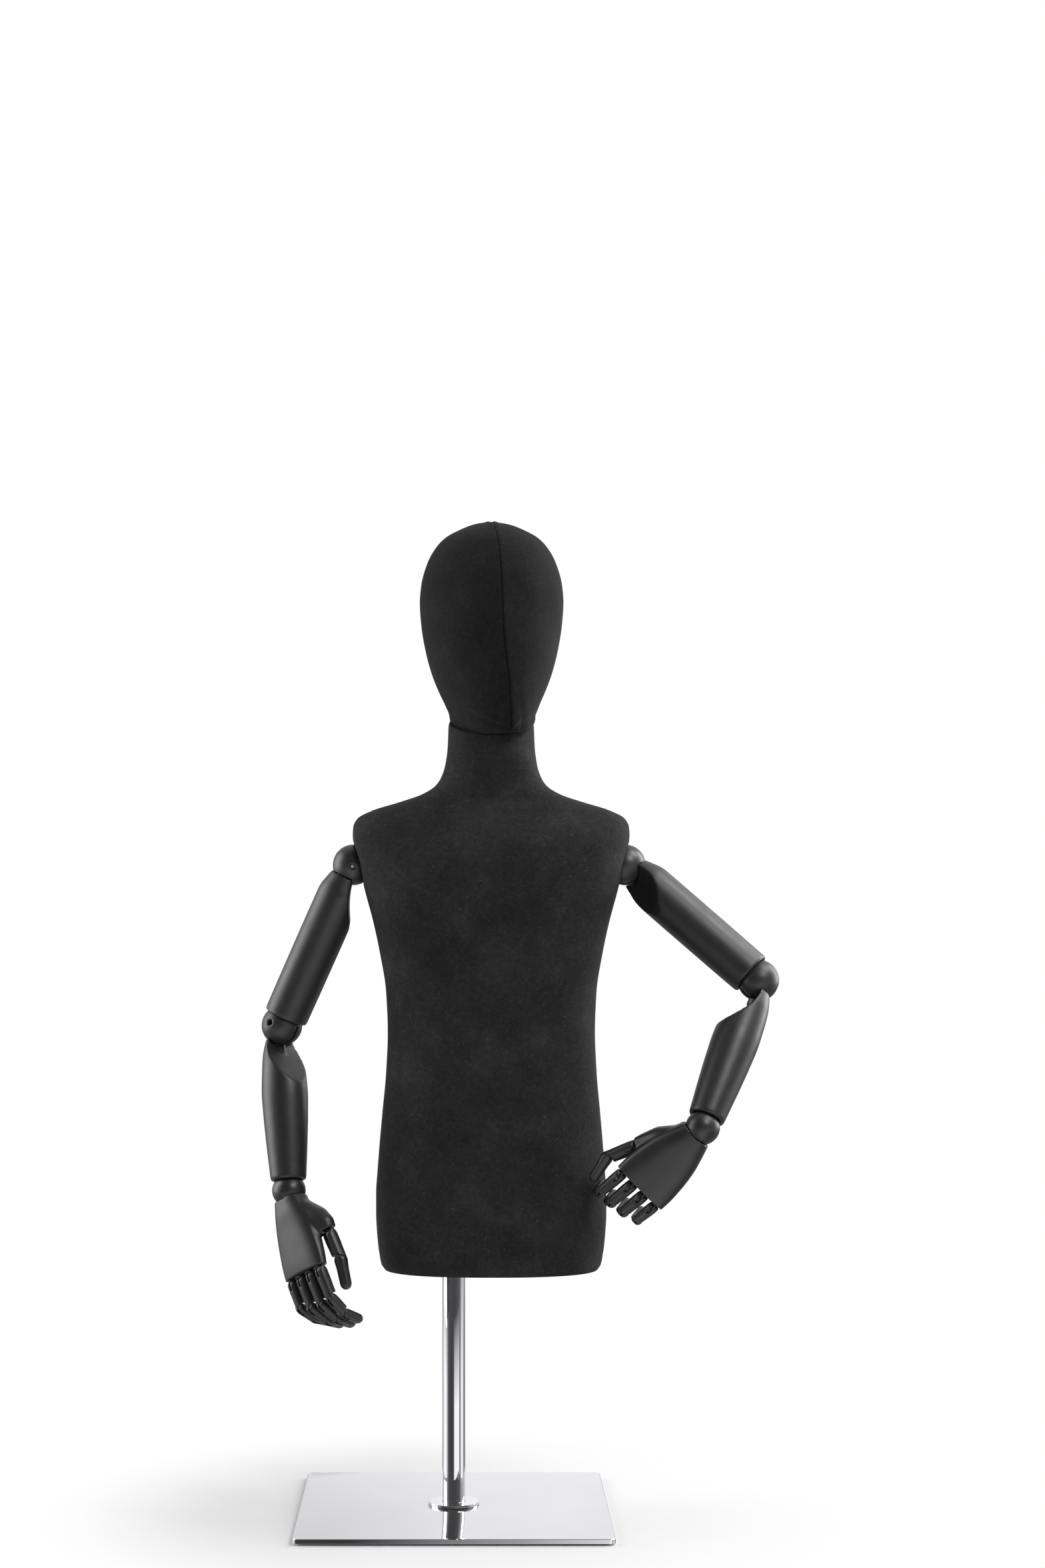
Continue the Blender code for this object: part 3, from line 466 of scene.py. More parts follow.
# =============================================================== materials
def jersey(name, painted_light_gain):
    """Black stretch jersey: fine rib courses, mottled dye, lint, soft halo at the rim. Its whole
    colour is then scaled by a gain of painted light.
    """
    material, tree, shader = new_material(name)
    coords = object_coords(tree)
    dye = noise_texture(tree, coords, Scale=22.0, Detail=6.0, Roughness=0.65)
    fuzz = noise_texture(tree, coords, Scale=260.0, Detail=5.0, Roughness=0.75)
    scaled = mapping(tree, coords, Scale=(1.0, 1.0, 2.2))
    lint = noise_texture(tree, scaled, Scale=520.0, Detail=3.0, Roughness=0.8)
    colour = ramp(tree, dye, [(0.32, 0.0105), (0.55, 0.0160), (0.74, 0.0235)])
    mottle = ramp(tree, fuzz, [(0.35, 0.70), (0.60, 1.08), (0.78, 1.9)])
    colour = mix(tree, 1.0, colour, mottle, "MULTIPLY")
    lint_tone = ramp(tree, lint, [(0.62, 0.0), (0.78, 0.022)])
    colour = mix(tree, 1.0, colour, lint_tone, "ADD")
    # stray fibres: pale flecks in the cells whose random red value passes the threshold
    for scale, size, threshold in ((150.0, 0.085, 0.66), (330.0, 0.12, 0.72)):
        cell = add_node(tree, "TexVoronoi", Scale=scale, Vector=scaled)
        near = math_node(tree, "LESS_THAN", cell.outputs["Distance"], size)
        pick = add_node(tree, "SeparateColor", Color=cell.outputs["Color"])
        passed = math_node(tree, "GREATER_THAN", pick.outputs[0], threshold)
        chosen = math_node(tree, "MULTIPLY", near, passed)
        amount = math_node(tree, "MULTIPLY", chosen, pick.outputs[1])
        colour = mix(tree, amount, colour, grey(0.11))
    # painted light: the colour is multiplied by a gain, which paints the torso copy lighter than
    # the head copy of the same cloth
    colour = mix(tree, 1.0, colour, (painted_light_gain, painted_light_gain, painted_light_gain, 1), "MULTIPLY")
    seam = add_node(tree, "Attribute", attribute_name="seam").outputs["Fac"]
    colour = mix(tree, math_node(tree, "MULTIPLY", seam, 0.88), colour, grey(0.0016))
    # knit: rows of loops as crossed waves
    courses = add_node(tree, "TexWave", Vector=coords, Scale=230.0, Distortion=1.6, Detail=2.0,
                       Detail_Scale=2.0, bands_direction="Z").outputs["Fac"]
    wales = add_node(tree, "TexWave", Vector=coords, Scale=250.0, Distortion=1.2, Detail=2.0,
                     bands_direction="X").outputs["Fac"]
    knit = math_node(tree, "MULTIPLY", courses, wales)
    height = math_node(tree, "ADD", math_node(tree, "MULTIPLY", knit, 0.5),
                       math_node(tree, "MULTIPLY", fuzz, 1.1))
    set_node(tree, shader, Base_Color=colour, Roughness=0.95, Specular_IOR_Level=0.18,
             Sheen_Weight=0.035, Sheen_Roughness=0.45, Sheen_Tint=(0.8, 0.8, 0.82, 1),
             Normal=bump(tree, height, strength=0.55, distance=0.0005))
    return material


def painted_wood(name, seed, rough):
    """Satin black paint over turned wood: faint grain, uneven gloss, rubbed edges."""
    material, tree, shader = new_material(name)
    grain = add_node(tree, "Attribute", attribute_name="grain").outputs["Vector"]
    grain = mapping(tree, grain, Location=(seed, seed * 0.7, -seed))
    fibre = noise_texture(tree, grain, Scale=900.0, Detail=4.0, Roughness=0.6)
    wide = noise_texture(tree, grain, Scale=70.0, Detail=3.0, Roughness=0.55)
    coords = object_coords(tree)
    blotch = noise_texture(tree, coords, Scale=60.0, Detail=6.0, Roughness=0.7)
    colour = ramp(tree, wide, [(0.3, 0.016), (0.6, 0.0215), (0.8, 0.028)])
    fibre_tone = ramp(tree, fibre, [(0.3, 0.86), (0.7, 1.12)])
    colour = mix(tree, 1.0, colour, fibre_tone, "MULTIPLY")
    # rubbed edges, broken up
    pointiness = add_node(tree, "NewGeometry").outputs["Pointiness"]
    edge = ramp(tree, pointiness, [(0.535, 0.0), (0.60, 1.0)])
    broken = ramp(tree, blotch, [(0.45, 0.0), (0.66, 1.0)])
    wear = math_node(tree, "MULTIPLY", math_node(tree, "MULTIPLY", edge, broken), 0.55)
    colour = mix(tree, wear, colour, (0.085, 0.080, 0.076, 1))
    gloss = ramp(tree, blotch, [(0.3, rough - 0.04), (0.7, rough + 0.07)])
    peel = noise_texture(tree, coords, Scale=1400.0, Detail=2.0)
    height = math_node(tree, "ADD", math_node(tree, "MULTIPLY", fibre, 0.8),
                       math_node(tree, "MULTIPLY", peel, 0.5))
    set_node(tree, shader, Base_Color=colour, Roughness=gloss, Specular_IOR_Level=0.85,
             Normal=bump(tree, height, strength=0.14, distance=0.0002))
    return material


def polished(name, rough, base, brushed=0.0):
    """Metal with slight smears; brushed draws the fine bump out along Z."""
    material, tree, shader = new_material(name)
    coords = object_coords(tree)
    drawn = mapping(tree, coords, Scale=(1.0, 1.0, 0.05 if brushed else 1.0))
    smear = noise_texture(tree, coords, Scale=14.0, Detail=5.0, Roughness=0.6)
    fine = noise_texture(tree, drawn, Scale=2400.0 if brushed else 900.0, Detail=2.0)
    set_node(tree, shader, Metallic=1.0,
             Base_Color=ramp(tree, smear, [(0.3, base * 0.96), (0.7, base)]),
             Roughness=ramp(tree, smear, [(0.42, rough), (0.72, rough * 1.6 + 0.004)]),
             Normal=bump(tree, fine, strength=0.004 + brushed, distance=0.0001))
    return material


def plain(name, dark, light, scale, rough, relief, stretch=(1, 1, 1)):
    """Two colours mottled by one noise, which also gives the relief."""
    material, tree, shader = new_material(name)
    vector = mapping(tree, object_coords(tree), Scale=stretch)
    mottle = noise_texture(tree, vector, Scale=scale, Detail=6.0, Roughness=0.65)
    set_node(tree, shader, Roughness=rough,
             Base_Color=ramp(tree, mottle, [(0.3, (*dark, 1)), (0.7, (*light, 1))]),
             Normal=bump(tree, mottle, strength=relief, distance=0.0004))
    return material


# torso and head wear the same cloth; the torso copy is painted lighter by a gain of 2.05,
# standing in for light falling on the torso
TORSO_JERSEY_PAINTED_LIGHTER = jersey("jersey_torso_painted_lighter", painted_light_gain=2.05)
HEAD_JERSEY = jersey("jersey_head", painted_light_gain=1.0)
CHROME = polished("polished_steel", rough=0.006, base=0.93)
MIRROR = polished("mirror_plate", rough=0.008, base=0.80)
STEEL = polished("zinc_steel", rough=0.28, base=0.50, brushed=0.12)
FIBRE = plain("fibreglass", dark=(0.24, 0.21, 0.15), light=(0.36, 0.32, 0.24),
              scale=90.0, rough=0.65, relief=0.5)
PLY = plain("birch_ply", dark=(0.36, 0.25, 0.14), light=(0.58, 0.43, 0.27),
            scale=60.0, rough=0.7, relief=0.4, stretch=(0.3, 4.0, 12.0))
RUBBER = plain("foot_sheet", dark=(0.012, 0.012, 0.012), light=(0.030, 0.030, 0.030),
               scale=700.0, rough=0.85, relief=0.6)
LINER = plain("black_liner", dark=(0.010, 0.010, 0.010), light=(0.020, 0.020, 0.021),
              scale=300.0, rough=0.75, relief=0.4)


def dress(ob, material):
    ob.data.materials.clear()
    ob.data.materials.append(material)


def put(ob, node, body, material):
    """Dresses a piece and hands it over in place of a frame node."""
    dress(ob, material)
    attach(ob, body)
    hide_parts(node)


def put_wood(ob, node, body, origin, axes):
    """Paints a wooden piece; the node's name seeds its grain and gloss."""
    store_grain(ob, origin, axes)
    seed = sum(ord(letter) * (i + 3) for i, letter in enumerate(node)) % 97 * 0.11
    put(ob, node, body, painted_wood("paint_" + node, seed, rough=0.38 + (seed % 0.5) * 0.08))


# =============================================================== arm poses
FINGERS = {   # place across the palm in pitches, part lengths, part radii
    "index": (1.5, (28, 20, 18.5), (5.8, 5.4, 5.0)),
    "middle": (0.5, (29, 21, 19), (5.8, 5.4, 5.0)),
    "ring": (-0.5, (27.5, 20, 18.5), (5.8, 5.4, 5.0)),
    "pinky": (-1.5, (23.5, 17, 16.5), (5.4, 5.0, 4.6)),
}
THUMB_LENGTHS = (26, 28)
THUMB_RADII = (6.6, 6.2)


def pose_arm(side, out_x, upper, fore, hand, thumbward, palm_sign, **traits):
    """Joint centres and directions of one arm at rest."""
    arm = SimpleNamespace(side=side, palm_sign=palm_sign, **traits)
    arm.out = vec(out_x, 0, 0)
    arm.upper, arm.fore, arm.hand = unit(upper), unit(fore), unit(hand)
    arm.thumbward = ortho(vec(*thumbward), arm.hand)
    arm.palmward = palm_sign * np.cross(arm.hand, arm.thumbward)
    arm.shoulder = vec(SHOULDER_MID_X + out_x * SHOULDER_OFF, 0, SHOULDER_Z)
    arm.elbow = arm.shoulder + UPPER_LEN * arm.upper
    arm.wrist = arm.elbow + FORE_LEN * arm.fore
    arm.shoulder_pin = unit(np.cross(arm.out, arm.upper))
    arm.elbow_pin = unit(np.cross(arm.upper, arm.fore))
    return arm


# Twists are degrees towards the front; the wrist span and curls are degrees of bending.
# Thumb and swell places and ways run along the hand, towards the thumb and out of the palm.
# The forearm scoop is (distance from the elbow, depth of its floor).
ARMS = [
    pose_arm(
        "R", out_x=-1, upper=(-0.408, 0.08, -0.913), fore=(0.057, -0.26, -0.965),
        hand=(0.22, -0.36, -0.906), thumbward=(0.64, -0.65, 0.41), palm_sign=-1.0,
        upper_twist=0.0, fore_twist=14.0, blind_pins=False, wrist_span=(-30, 14),
        curls={"index": (13, 30, 27), "middle": (12, 36, 26),
               "ring": (11, 42, 24), "pinky": (10, 46, 22)},
        thumb_base=(57.5, 32, 12), thumb_ways=((0.975, 0.10, 0.15), (0.985, -0.10, 0.08)),
        swell=(37, 21.9, 8.0), peg_length=24.0, has_dowel_hole=True,
        fore_scoop=[(5.6, -3.6), (18.3, -3.0), (28, 0.9), (38.5, 7.2), (48, 14.0),
                    (57, 20.2), (63, 24.8), (67, 30)]),
    pose_arm(
        "L", out_x=1, upper=(0.727, -0.240, -0.645), fore=(-0.365, -0.420, -0.831),
        hand=(-0.70, 0.17, -0.70), thumbward=(-0.67, 0.0, 0.74), palm_sign=1.0,
        upper_twist=33.0, fore_twist=0.0, blind_pins=True, wrist_span=(-30, 0),
        curls={"index": (27, 45, 36), "middle": (29, 46, 36),
               "ring": (31, 47, 36), "pinky": (33, 48, 36)},
        thumb_base=(65, 31.5, 12.5), thumb_ways=((0.92, 0.34, 0.14), (0.95, -0.24, 0.20)),
        swell=(38, 18.0, 8.0), peg_length=20.0, has_dowel_hole=False,
        fore_scoop=[(5.6, -4.6), (18.0, -4.8), (28, -3.0), (38.0, 1.6), (47, 8.2),
                    (54.5, 15.4), (60, 22.5), (63, 30)]),
]


# =============================================================== torso cloth
# Each table is (height, value).
TORSO_HALF_WIDTH = curve([
    (238, 105.5), (243, 107.5), (252, 109.5), (272, 111.7), (291, 112.7), (311, 112.7),
    (330, 111.4), (350, 109.8), (389, 106.2), (428, 102.6), (467, 101.0), (506, 102.6),
    (545, 108.8), (574, 115.0), (604, 123.0), (630, 129.5), (648, 134.0), (660, 135.5),
    (668, 135.0), (676, 131.0), (684, 116.0), (692, 90.0), (700, 67.0), (708, 54.5),
    (716, 49.0), (728, 45.0), (746, 42.6), (770, 41.7)])
TORSO_FRONT = curve([
    (238, 69), (251, 74), (291, 78), (330, 78), (369, 79), (408, 79), (447, 77), (486, 74),
    (526, 72), (566, 73), (606, 75), (646, 68), (666, 55), (682, 40), (696, 33), (710, 34),
    (724, 38), (745, 42), (770, 44)])
TORSO_BACK = curve([
    (238, 82), (251, 88), (291, 92), (330, 86), (369, 72), (408, 62), (447, 57), (486, 58),
    (526, 64), (566, 72), (606, 78), (646, 76), (666, 67), (682, 56), (696, 47), (710, 43),
    (724, 40), (745, 39), (770, 40)])
TORSO_POWER = curve([   # superellipse power of the section
    (238, 2.5), (330, 2.45), (467, 2.3), (560, 2.5), (620, 2.8), (650, 2.7), (680, 2.2),
    (700, 2.1), (730, 2.0), (770, 2.0)])
TORSO_HEIGHTS = np.array([*np.linspace(HEM_Z, 640, 96), *np.linspace(643, 716, 44),
                          *np.linspace(718.5, 764, 22), 767, 769, TORSO_TOP])
# (distance out from the torso's middle plane, radius)
SHOULDER_CUP = [(108.4, 7.4), (108.4, 22.4), (109, 23.1), (150, 23.1), (150, 22.2),
                (113.4, 22.2), (112.2, 21.0), (112.2, 8.6), (111.6, 7.4)]


def torso_rings(angles):
    cos, sin = np.cos(angles), np.sin(angles)
    rings = []
    for z in TORSO_HEIGHTS:
        front, back, power = TORSO_FRONT(z), TORSO_BACK(z), TORSO_POWER(z)
        x = TORSO_HALF_WIDTH(z) * np.sign(cos) * np.abs(cos) ** (2 / power)
        y = (back - front) / 2 + (back + front) / 2 * np.sign(sin) * np.abs(sin) ** (2 / power)
        tilt = clamp01((z - TILT_START) / (TORSO_TOP - TILT_START))
        tilt = tilt * tilt * (3 - 2 * tilt)
        ring = np.stack([TORSO_X + x, y, z + tilt * NECK_SLOPE * y], 1)
        ring[:, 2] -= 2.2 * clamp01((262.0 - z) / 24.0)   # the hem hangs a little lower
        if z == TORSO_TOP:
            ring[:, 2] = NECK_Z + NECK_SLOPE * y
        rings.append(ring)
    return np.array(rings)


def torso_relief(points, angles):
    """Height of seam, edges and unevenness over the torso form."""
    across = points[:, :, 0] - TORSO_X
    back = points[:, :, 1] > 0
    relief = np.zeros(points.shape[:2])
    # centre-back seam, puckered by its stitches
    pucker = 0.75 + 0.25 * np.cos(points[:, :, 2] * 2 * math.pi / 7.0)
    relief -= back * 0.75 * gauss(across, width=0.9) * pucker
    relief += back * 0.22 * pucker * (gauss(across - 2.4, width=1.3)
                                      + gauss(across + 2.4, width=1.3))
    # turned-in edges at neck and hem, and the hem's stitch line
    neck_edge = np.clip((TORSO_HEIGHTS - 765.5) / 4.5, 0, 1)
    relief -= 1.1 * (neck_edge ** 2)[:, None]
    hem_edge = np.clip((242.0 - TORSO_HEIGHTS) / 4.0, 0, 1)
    relief -= 1.3 * (hem_edge ** 2)[:, None]
    hem_stitch = 0.30 * gauss(TORSO_HEIGHTS - 251.0, width=1.1)
    relief -= hem_stitch[:, None] * (0.7 + 0.3 * np.cos(angles * 90))[None, :]
    # very shallow unevenness of cloth pulled over the form
    return relief + 0.22 * unevenness(points, scale=vec(0.018, 0.018, 0.010))


def torso_cover():
    """Torso sleeve, open at hem and neck, and the black cups lining its armholes."""
    ends = (DOWN, NECK_NORMAL)
    angles = ring_angles(168, ((90, 9.0, 1.6),))
    points = torso_rings(angles)
    outer = displaced(points, torso_relief(points, angles))
    inner = inset(outer, COVER_T, ends)
    cloth = loft("torso_jersey", outer + inner[::-1], loop=True)
    middle = vec(TORSO_X, 0, SHOULDER_Z)
    for arm in ARMS:
        boolean(cloth, turned("pocket", middle, arm.out, [(90, 23.2), (170, 23.2)]))
        cup = turned("shoulder_cup_" + arm.side, middle, arm.out, SHOULDER_CUP, loop=True)
        boolean(cup, loft("fill", inset(torso_rings(ring_angles(120)), 0.5, ends)), "INTERSECT")
        round_edges(cup, 0.25, 40)
        put(cup, "shoulder_mount_" + arm.side, "torso", LINER)
    coords = vertex_array(cloth.data) / MM
    store_seam(cloth, gauss(coords[:, 0] - TORSO_X, width=0.8) * (coords[:, 1] > 5))
    shade(cloth, 50)
    put(cloth, "torso_cover", "torso", TORSO_JERSEY_PAINTED_LIGHTER)


torso_cover()


# =============================================================== head cloth
# Each table is (height, value).
HEAD_HALF_WIDTH = curve([
    (756, 24), (758, 29), (763, 36), (770, 40), (778, 41.5), (785, 44.5), (801, 52),
    (817, 58.3), (840, 64.5), (864, 68.4), (887, 70), (903, 68.7), (926, 62.3), (942, 53),
    (950, 44.8), (957, 32), (963, 17), (966, 2)])
HEAD_FRONT = curve([
    (756, 58), (758, 63), (763, 70), (770, 74.5), (785, 82), (800, 88), (817, 91), (840, 92),
    (863, 91), (887, 88), (902, 84), (926, 72), (942, 57), (957, 32), (963, 14), (966, -5)])
HEAD_BACK = curve([
    (756, 43), (770, 44), (785, 47), (800, 55), (817, 66), (840, 78), (863, 86), (887, 89),
    (902, 88), (926, 80), (942, 68), (957, 45), (963, 25), (966, 9)])
HEAD_YAW = curve([(756, 15), (800, 10), (860, 6), (966, 5)])   # degrees
HEAD_HEIGHTS = [965.9, 965.5, 964.8, 963.6, 962.0, 960, 957.5, *np.linspace(954, 800, 92),
                *np.linspace(798, 770, 26), *np.linspace(769, 757.2, 14)]
NECK_FOOT_Y = -1.5        # middle of the head's foot ring


def neck_seat(y):
    """Height of the head's foot over the sloping neck plane."""
    return NECK_Z + NECK_GAP + NECK_SLOPE * y


def head_rings(angles):
    """Head rings from the crown down, and each point's distance from the seam plane."""
    cos, sin = np.cos(angles), np.sin(angles)
    rings, seam_distance = [], []
    for z in HEAD_HEIGHTS:
        yaw = math.radians(HEAD_YAW(z))
        low = clamp01((900 - z) / 90.0)
        x = HEAD_HALF_WIDTH(z) * cos * (1.0 - 0.10 * np.maximum(0.0, -sin) ** 2 * low)
        y = np.where(sin > 0, HEAD_BACK(z), HEAD_FRONT(z)) * sin
        # the two cloth panels meet in a soft ridge down the face
        y = y - 1.7 * np.exp(-np.abs(x) / 9.0) * (y < 0) * clamp01((962 - z) / 30.0)
        turned_x = HEAD_X + x * math.cos(yaw) - y * math.sin(yaw)
        turned_y = x * math.sin(yaw) + y * math.cos(yaw)
        rings.append(np.stack([turned_x, turned_y, np.maximum(z, neck_seat(turned_y))], 1))
        seam_distance.append(x)
    x = 40.2 * cos
    y = NECK_FOOT_Y + np.where(sin < 0, 42.0, 40.5) * sin
    foot = np.stack([TORSO_X + x, y, neck_seat(y)], 1)
    rings += [rings[-1] * 0.5 + foot * 0.5, foot]
    seam_distance += [x, x]
    return np.array(rings), np.array(seam_distance)


def head_relief(points, seam, stitch):
    """Height of seam, pulls and folds over the head form."""
    x, z = points[:, :, 0], points[:, :, 2]
    front = points[:, :, 1] < 0
    relief = np.zeros(points.shape[:2])
    # stitched groove, fading out at the crown
    fade = np.clip((963.0 - z) / 16.0, 0.0, 1.0)
    relief -= 1.0 * gauss(seam, width=0.8) * stitch * fade
    relief += 0.35 * gauss(seam, width=6.0) * (1 - fade)
    # allowance folded to one side under the cloth
    relief += 0.45 * gauss(seam - 3.2, width=2.1) * stitch
    relief += 0.25 * gauss(seam + 2.6, width=1.8)
    # small pulls at the chin, spreading downwards
    below = 815 - z
    chin = np.clip(below / 45.0, 0, 1) * front
    relief -= chin * 0.5 * gauss(seam - 7.5 - below * 0.10, width=2.4)
    relief += chin * 0.4 * gauss(seam - 12.5 - below * 0.16, width=3.4)
    relief -= chin * 0.35 * gauss(seam + 8.5 + below * 0.08, width=2.6)
    # fold along the jaw, lowest at x = 57, where a small lump sits
    jaw = np.where(x < 57, 760.5 + 19.5 * (np.clip(57 - x, 0, 60) / 47) ** 1.3,
                   760.5 + 0.72 * (x - 57))
    reach = front * np.clip((x - 2) / 14.0, 0, 1) * np.clip((84 - x) / 8.0, 0, 1)
    relief += reach * (0.75 * gauss(z - jaw - 4.2, width=3.4)
                       - 0.95 * gauss(z - jaw + 1.6, width=2.0))
    relief += front * 0.5 * gauss(x - 57.5, width=3.0) * gauss(z - 764, width=4.5)
    relief += 0.16 * unevenness(points, scale=vec(0.03, 0.03, 0.02))
    relief[-2:] = 0.0
    return relief


def head_cover():
    """Closed head hood; its inner skin stays one cloth thickness above the foot."""
    points, seam = head_rings(ring_angles(190, ((270, 16.0, 2.2), (90, 8.0, 1.8))))
    stitch = 0.70 + 0.30 * np.cos(points[:, :, 2] * 2 * math.pi / 6.2)
    outer = displaced(points, head_relief(points, seam, stitch))
    inner = inset(outer, COVER_T, (UP, None))
    inner[0] = inner[0] - vec(0, 0, COVER_T)
    for ring in inner:
        ring[:, 2] = np.maximum(ring[:, 2], neck_seat(ring[:, 1]) + COVER_T)
    middle = vec(TORSO_X, NECK_FOOT_Y)
    foot = outer[-1].copy()
    foot[:, :2] = middle + (foot[:, :2] - middle) * (1 - COVER_T / 41.0)
    foot[:, 2] = neck_seat(foot[:, 1])
    inner[-1] = foot
    hood = loft("head_jersey", outer + inner[::-1])
    mask = np.zeros(len(hood.data.vertices), np.float32)
    line = (gauss(seam, width=0.85) * (0.75 + 0.25 * stitch)).ravel()
    mask[:len(line)] = line
    store_seam(hood, mask)
    shade(hood, 60)
    put(hood, "head_cover", "head", HEAD_JERSEY)


head_cover()


# =============================================================== arms
# Limb outlines are (distance from the upper joint, radius); the lip rounds the lower end.
UPPER_OUTLINE = [(12.2, 16.5), (20, 19.0), (29, 21.5), (34, 22.05), (60, 22.1), (110, 22.0),
                 (156, 21.7), (161, 21.6)]
UPPER_LIP = [(162.5, 21.45), (163.5, 21.0), (164, 20.3)]
UPPER_SCOOP = [(13.6, 6.2), (20, 7.2), (26.9, 8.8), (37.9, 12.7), (46, 16.6), (52.8, 20.1),
               (59.3, 21.9), (64, 26)]
FORE_OUTLINE = [(9, 14.6), (18, 17.4), (31, 20.2), (54, 22.0), (68, 22.6), (90, 21.8),
                (111, 20.5), (150, 17.5)]
FORE_LIP = [(151.9, 17.25), (153.0, 16.8), (153.7, 16.0)]


def joint_ball(ob, joint, arm, centre, peg, axes, slot, hole=None):
    """Gives a ball its peg, the slot for the tongue and the pin hole."""
    boolean(ob, peg, "UNION")
    boolean(ob, slab("slot", centre, axes, *slot))
    if hole:
        boolean(ob, rod("hole", *hole, 32))
    remesh(ob, BALL_VOXEL, 4, centre, axes)
    put_wood(ob, joint + "_ball_" + arm.side, joint + "_" + arm.side, centre, axes)


def pin_ends(arm, centre, axis, half, blind_half):
    """Both ends of a pin or its hole; a blind one stops short of the ball's front."""
    low, high = -half, half
    if arm.blind_pins:
        low, high = (-blind_half, half) if axis[1] > 0 else (-half, blind_half)
    return centre + low * axis, centre + high * axis


def hinge_pin(joint, arm, ends, recess, end_radius, edge, radius, material):
    """Round pin with a (depth, radius) recess in each end."""
    start, end = ends
    length = float(np.linalg.norm(end - start))
    depth, recess_radius = recess
    near = [(depth, 0.05), (depth, recess_radius), (0, recess_radius), (0, end_radius),
            (edge, radius)]
    profile = near + [(length - s, r) for s, r in reversed(near)]
    pin = turned("%s_pin_%s_steel" % (joint, arm.side), start, unit(end - start), profile, 40)
    shade(pin, 32)
    put(pin, "%s_pin_%s" % (joint, arm.side), joint + "_" + arm.side, material)


def shoulder(arm):
    centre, out, pin = arm.shoulder, arm.out, arm.shoulder_pin
    ob = ball("shoulder_ball_%s_wood" % arm.side, centre, BALL_R, out)
    boolean(ob, slab("trim", centre, (out, pin, np.cross(out, pin)),
                     (-40, -30, -30), (-10, 30, 30)))
    joint_ball(ob, "shoulder", arm, centre,
               peg=rod("peg", centre - arm.peg_length * out, centre - 9.0 * out, 6.9),
               axes=(out, np.cross(pin, out), pin), slot=((-6.6, -30, -1.7), (30, 30, 1.7)),
               hole=(*pin_ends(arm, centre, pin, 30, 13.0), SHOULDER_HOLE_R))
    hinge_pin("shoulder", arm, pin_ends(arm, centre, pin, 18.6, 12.6), recess=(1.0, 0.9),
              end_radius=1.7, edge=0.3, radius=2.0, material=STEEL)


def elbow(arm):
    centre, way, pin = arm.elbow, arm.upper, arm.elbow_pin
    ob = ball("elbow_ball_%s_wood" % arm.side, centre, BALL_R, way)
    joint_ball(ob, "elbow", arm, centre,
               peg=rod("peg", centre - 36 * way, centre - 14 * way, 5.0, 40),
               axes=(way, np.cross(pin, way), pin), slot=((-6.6, -30, -1.7), (30, 30, 1.7)),
               hole=(*pin_ends(arm, centre, pin, 30, 13.0), ELBOW_HOLE_R))
    hinge_pin("elbow", arm, pin_ends(arm, centre, pin, 16.2, 12.6), recess=(1.4, 1.1),
              end_radius=1.9, edge=0.4, radius=2.4, material=LINER)


def wrist(arm):
    """Wrist ball, with a slot as wide as the swing of the hand's tongue."""
    centre, way = arm.wrist, arm.fore
    low, high = (math.radians(a) for a in arm.wrist_span)
    middle, half = (low + high) / 2, (high - low) / 2
    slot_way = math.cos(middle) * arm.hand + math.sin(middle) * arm.palmward
    slot_half = WRIST_R * math.sin(half) + WRIST_TONGUE_HALF * math.cos(half) + 0.8
    ob = ball("wrist_ball_%s_wood" % arm.side, centre, WRIST_R, way, 80, 40)
    joint_ball(ob, "wrist", arm, centre,
               peg=rod("peg", centre - 30 * way, centre - 11 * way, 4.0, 32),
               axes=(slot_way, np.cross(arm.thumbward, slot_way), arm.thumbward),
               slot=((-5.6, -slot_half, -1.5), (25, slot_half, 1.5)))


def cut_scoop(ob, origin, way, facing, sideways, degrees, stations, count, top):
    """Cuts the hollow a limb folds into, its facing turned towards the front."""
    frontward = sideways if sideways[1] < 0 else -sideways
    twist = math.radians(degrees)
    facing = math.cos(twist) * facing + math.sin(twist) * frontward
    scoop_floor = [(-24, stations[0][1])] + sampled(stations, count)
    outline = scoop_floor + [(scoop_floor[-1][0], top), (-24, top)]
    boolean(ob, prism("scoop", origin, (way, facing, np.cross(way, facing)), outline, 40))


def limb_joints(ob, start, end, axes, end_cup, bore_depth, bore_radius, tongue_edge, hole):
    """Ball cups at both ends, the bore for the next peg, the tongue and its pin hole."""
    way, pin = axes[0], axes[2]
    boolean(ob, ball("cup", start, BALL_CUP_R, way))
    boolean(ob, ball("cup", end, end_cup, way))
    boolean(ob, rod("bore", end - bore_depth * way, end, bore_radius))
    boolean(ob, slab("tongue", start, axes, (-4.2, -4.2, -1.3), (29, tongue_edge, 1.3)), "UNION")
    boolean(ob, rod("hole", start - 8 * pin, start + 8 * pin, hole, 24))


def finish_limb(ob, node, start, axes):
    way, inward, _ = axes
    remesh(ob, LIMB_VOXEL, 5, start, (way, inward, np.cross(way, inward)))
    put_wood(ob, node, node, start, axes)


def upper_arm(arm):
    start, way, pin = arm.shoulder, arm.upper, arm.shoulder_pin
    node = "upper_arm_" + arm.side
    inward = unit(np.cross(way, pin))
    if np.dot(inward, arm.out) > 0:
        inward = -inward
    across = pin * np.sign(np.dot(np.cross(inward, pin), way))
    axes = (way, inward, pin)
    ob = turned(node + "_wood", start, way, sampled(UPPER_OUTLINE) + UPPER_LIP, 110,
                axes=(inward, across, way))
    cut_scoop(ob, start, way, inward, pin, arm.upper_twist, UPPER_SCOOP, count=26, top=40)
    limb_joints(ob, start, arm.elbow, axes, end_cup=BALL_CUP_R, bore_depth=38,
                bore_radius=5.45, tongue_edge=4.2, hole=SHOULDER_HOLE_R)
    finish_limb(ob, node, start, axes)


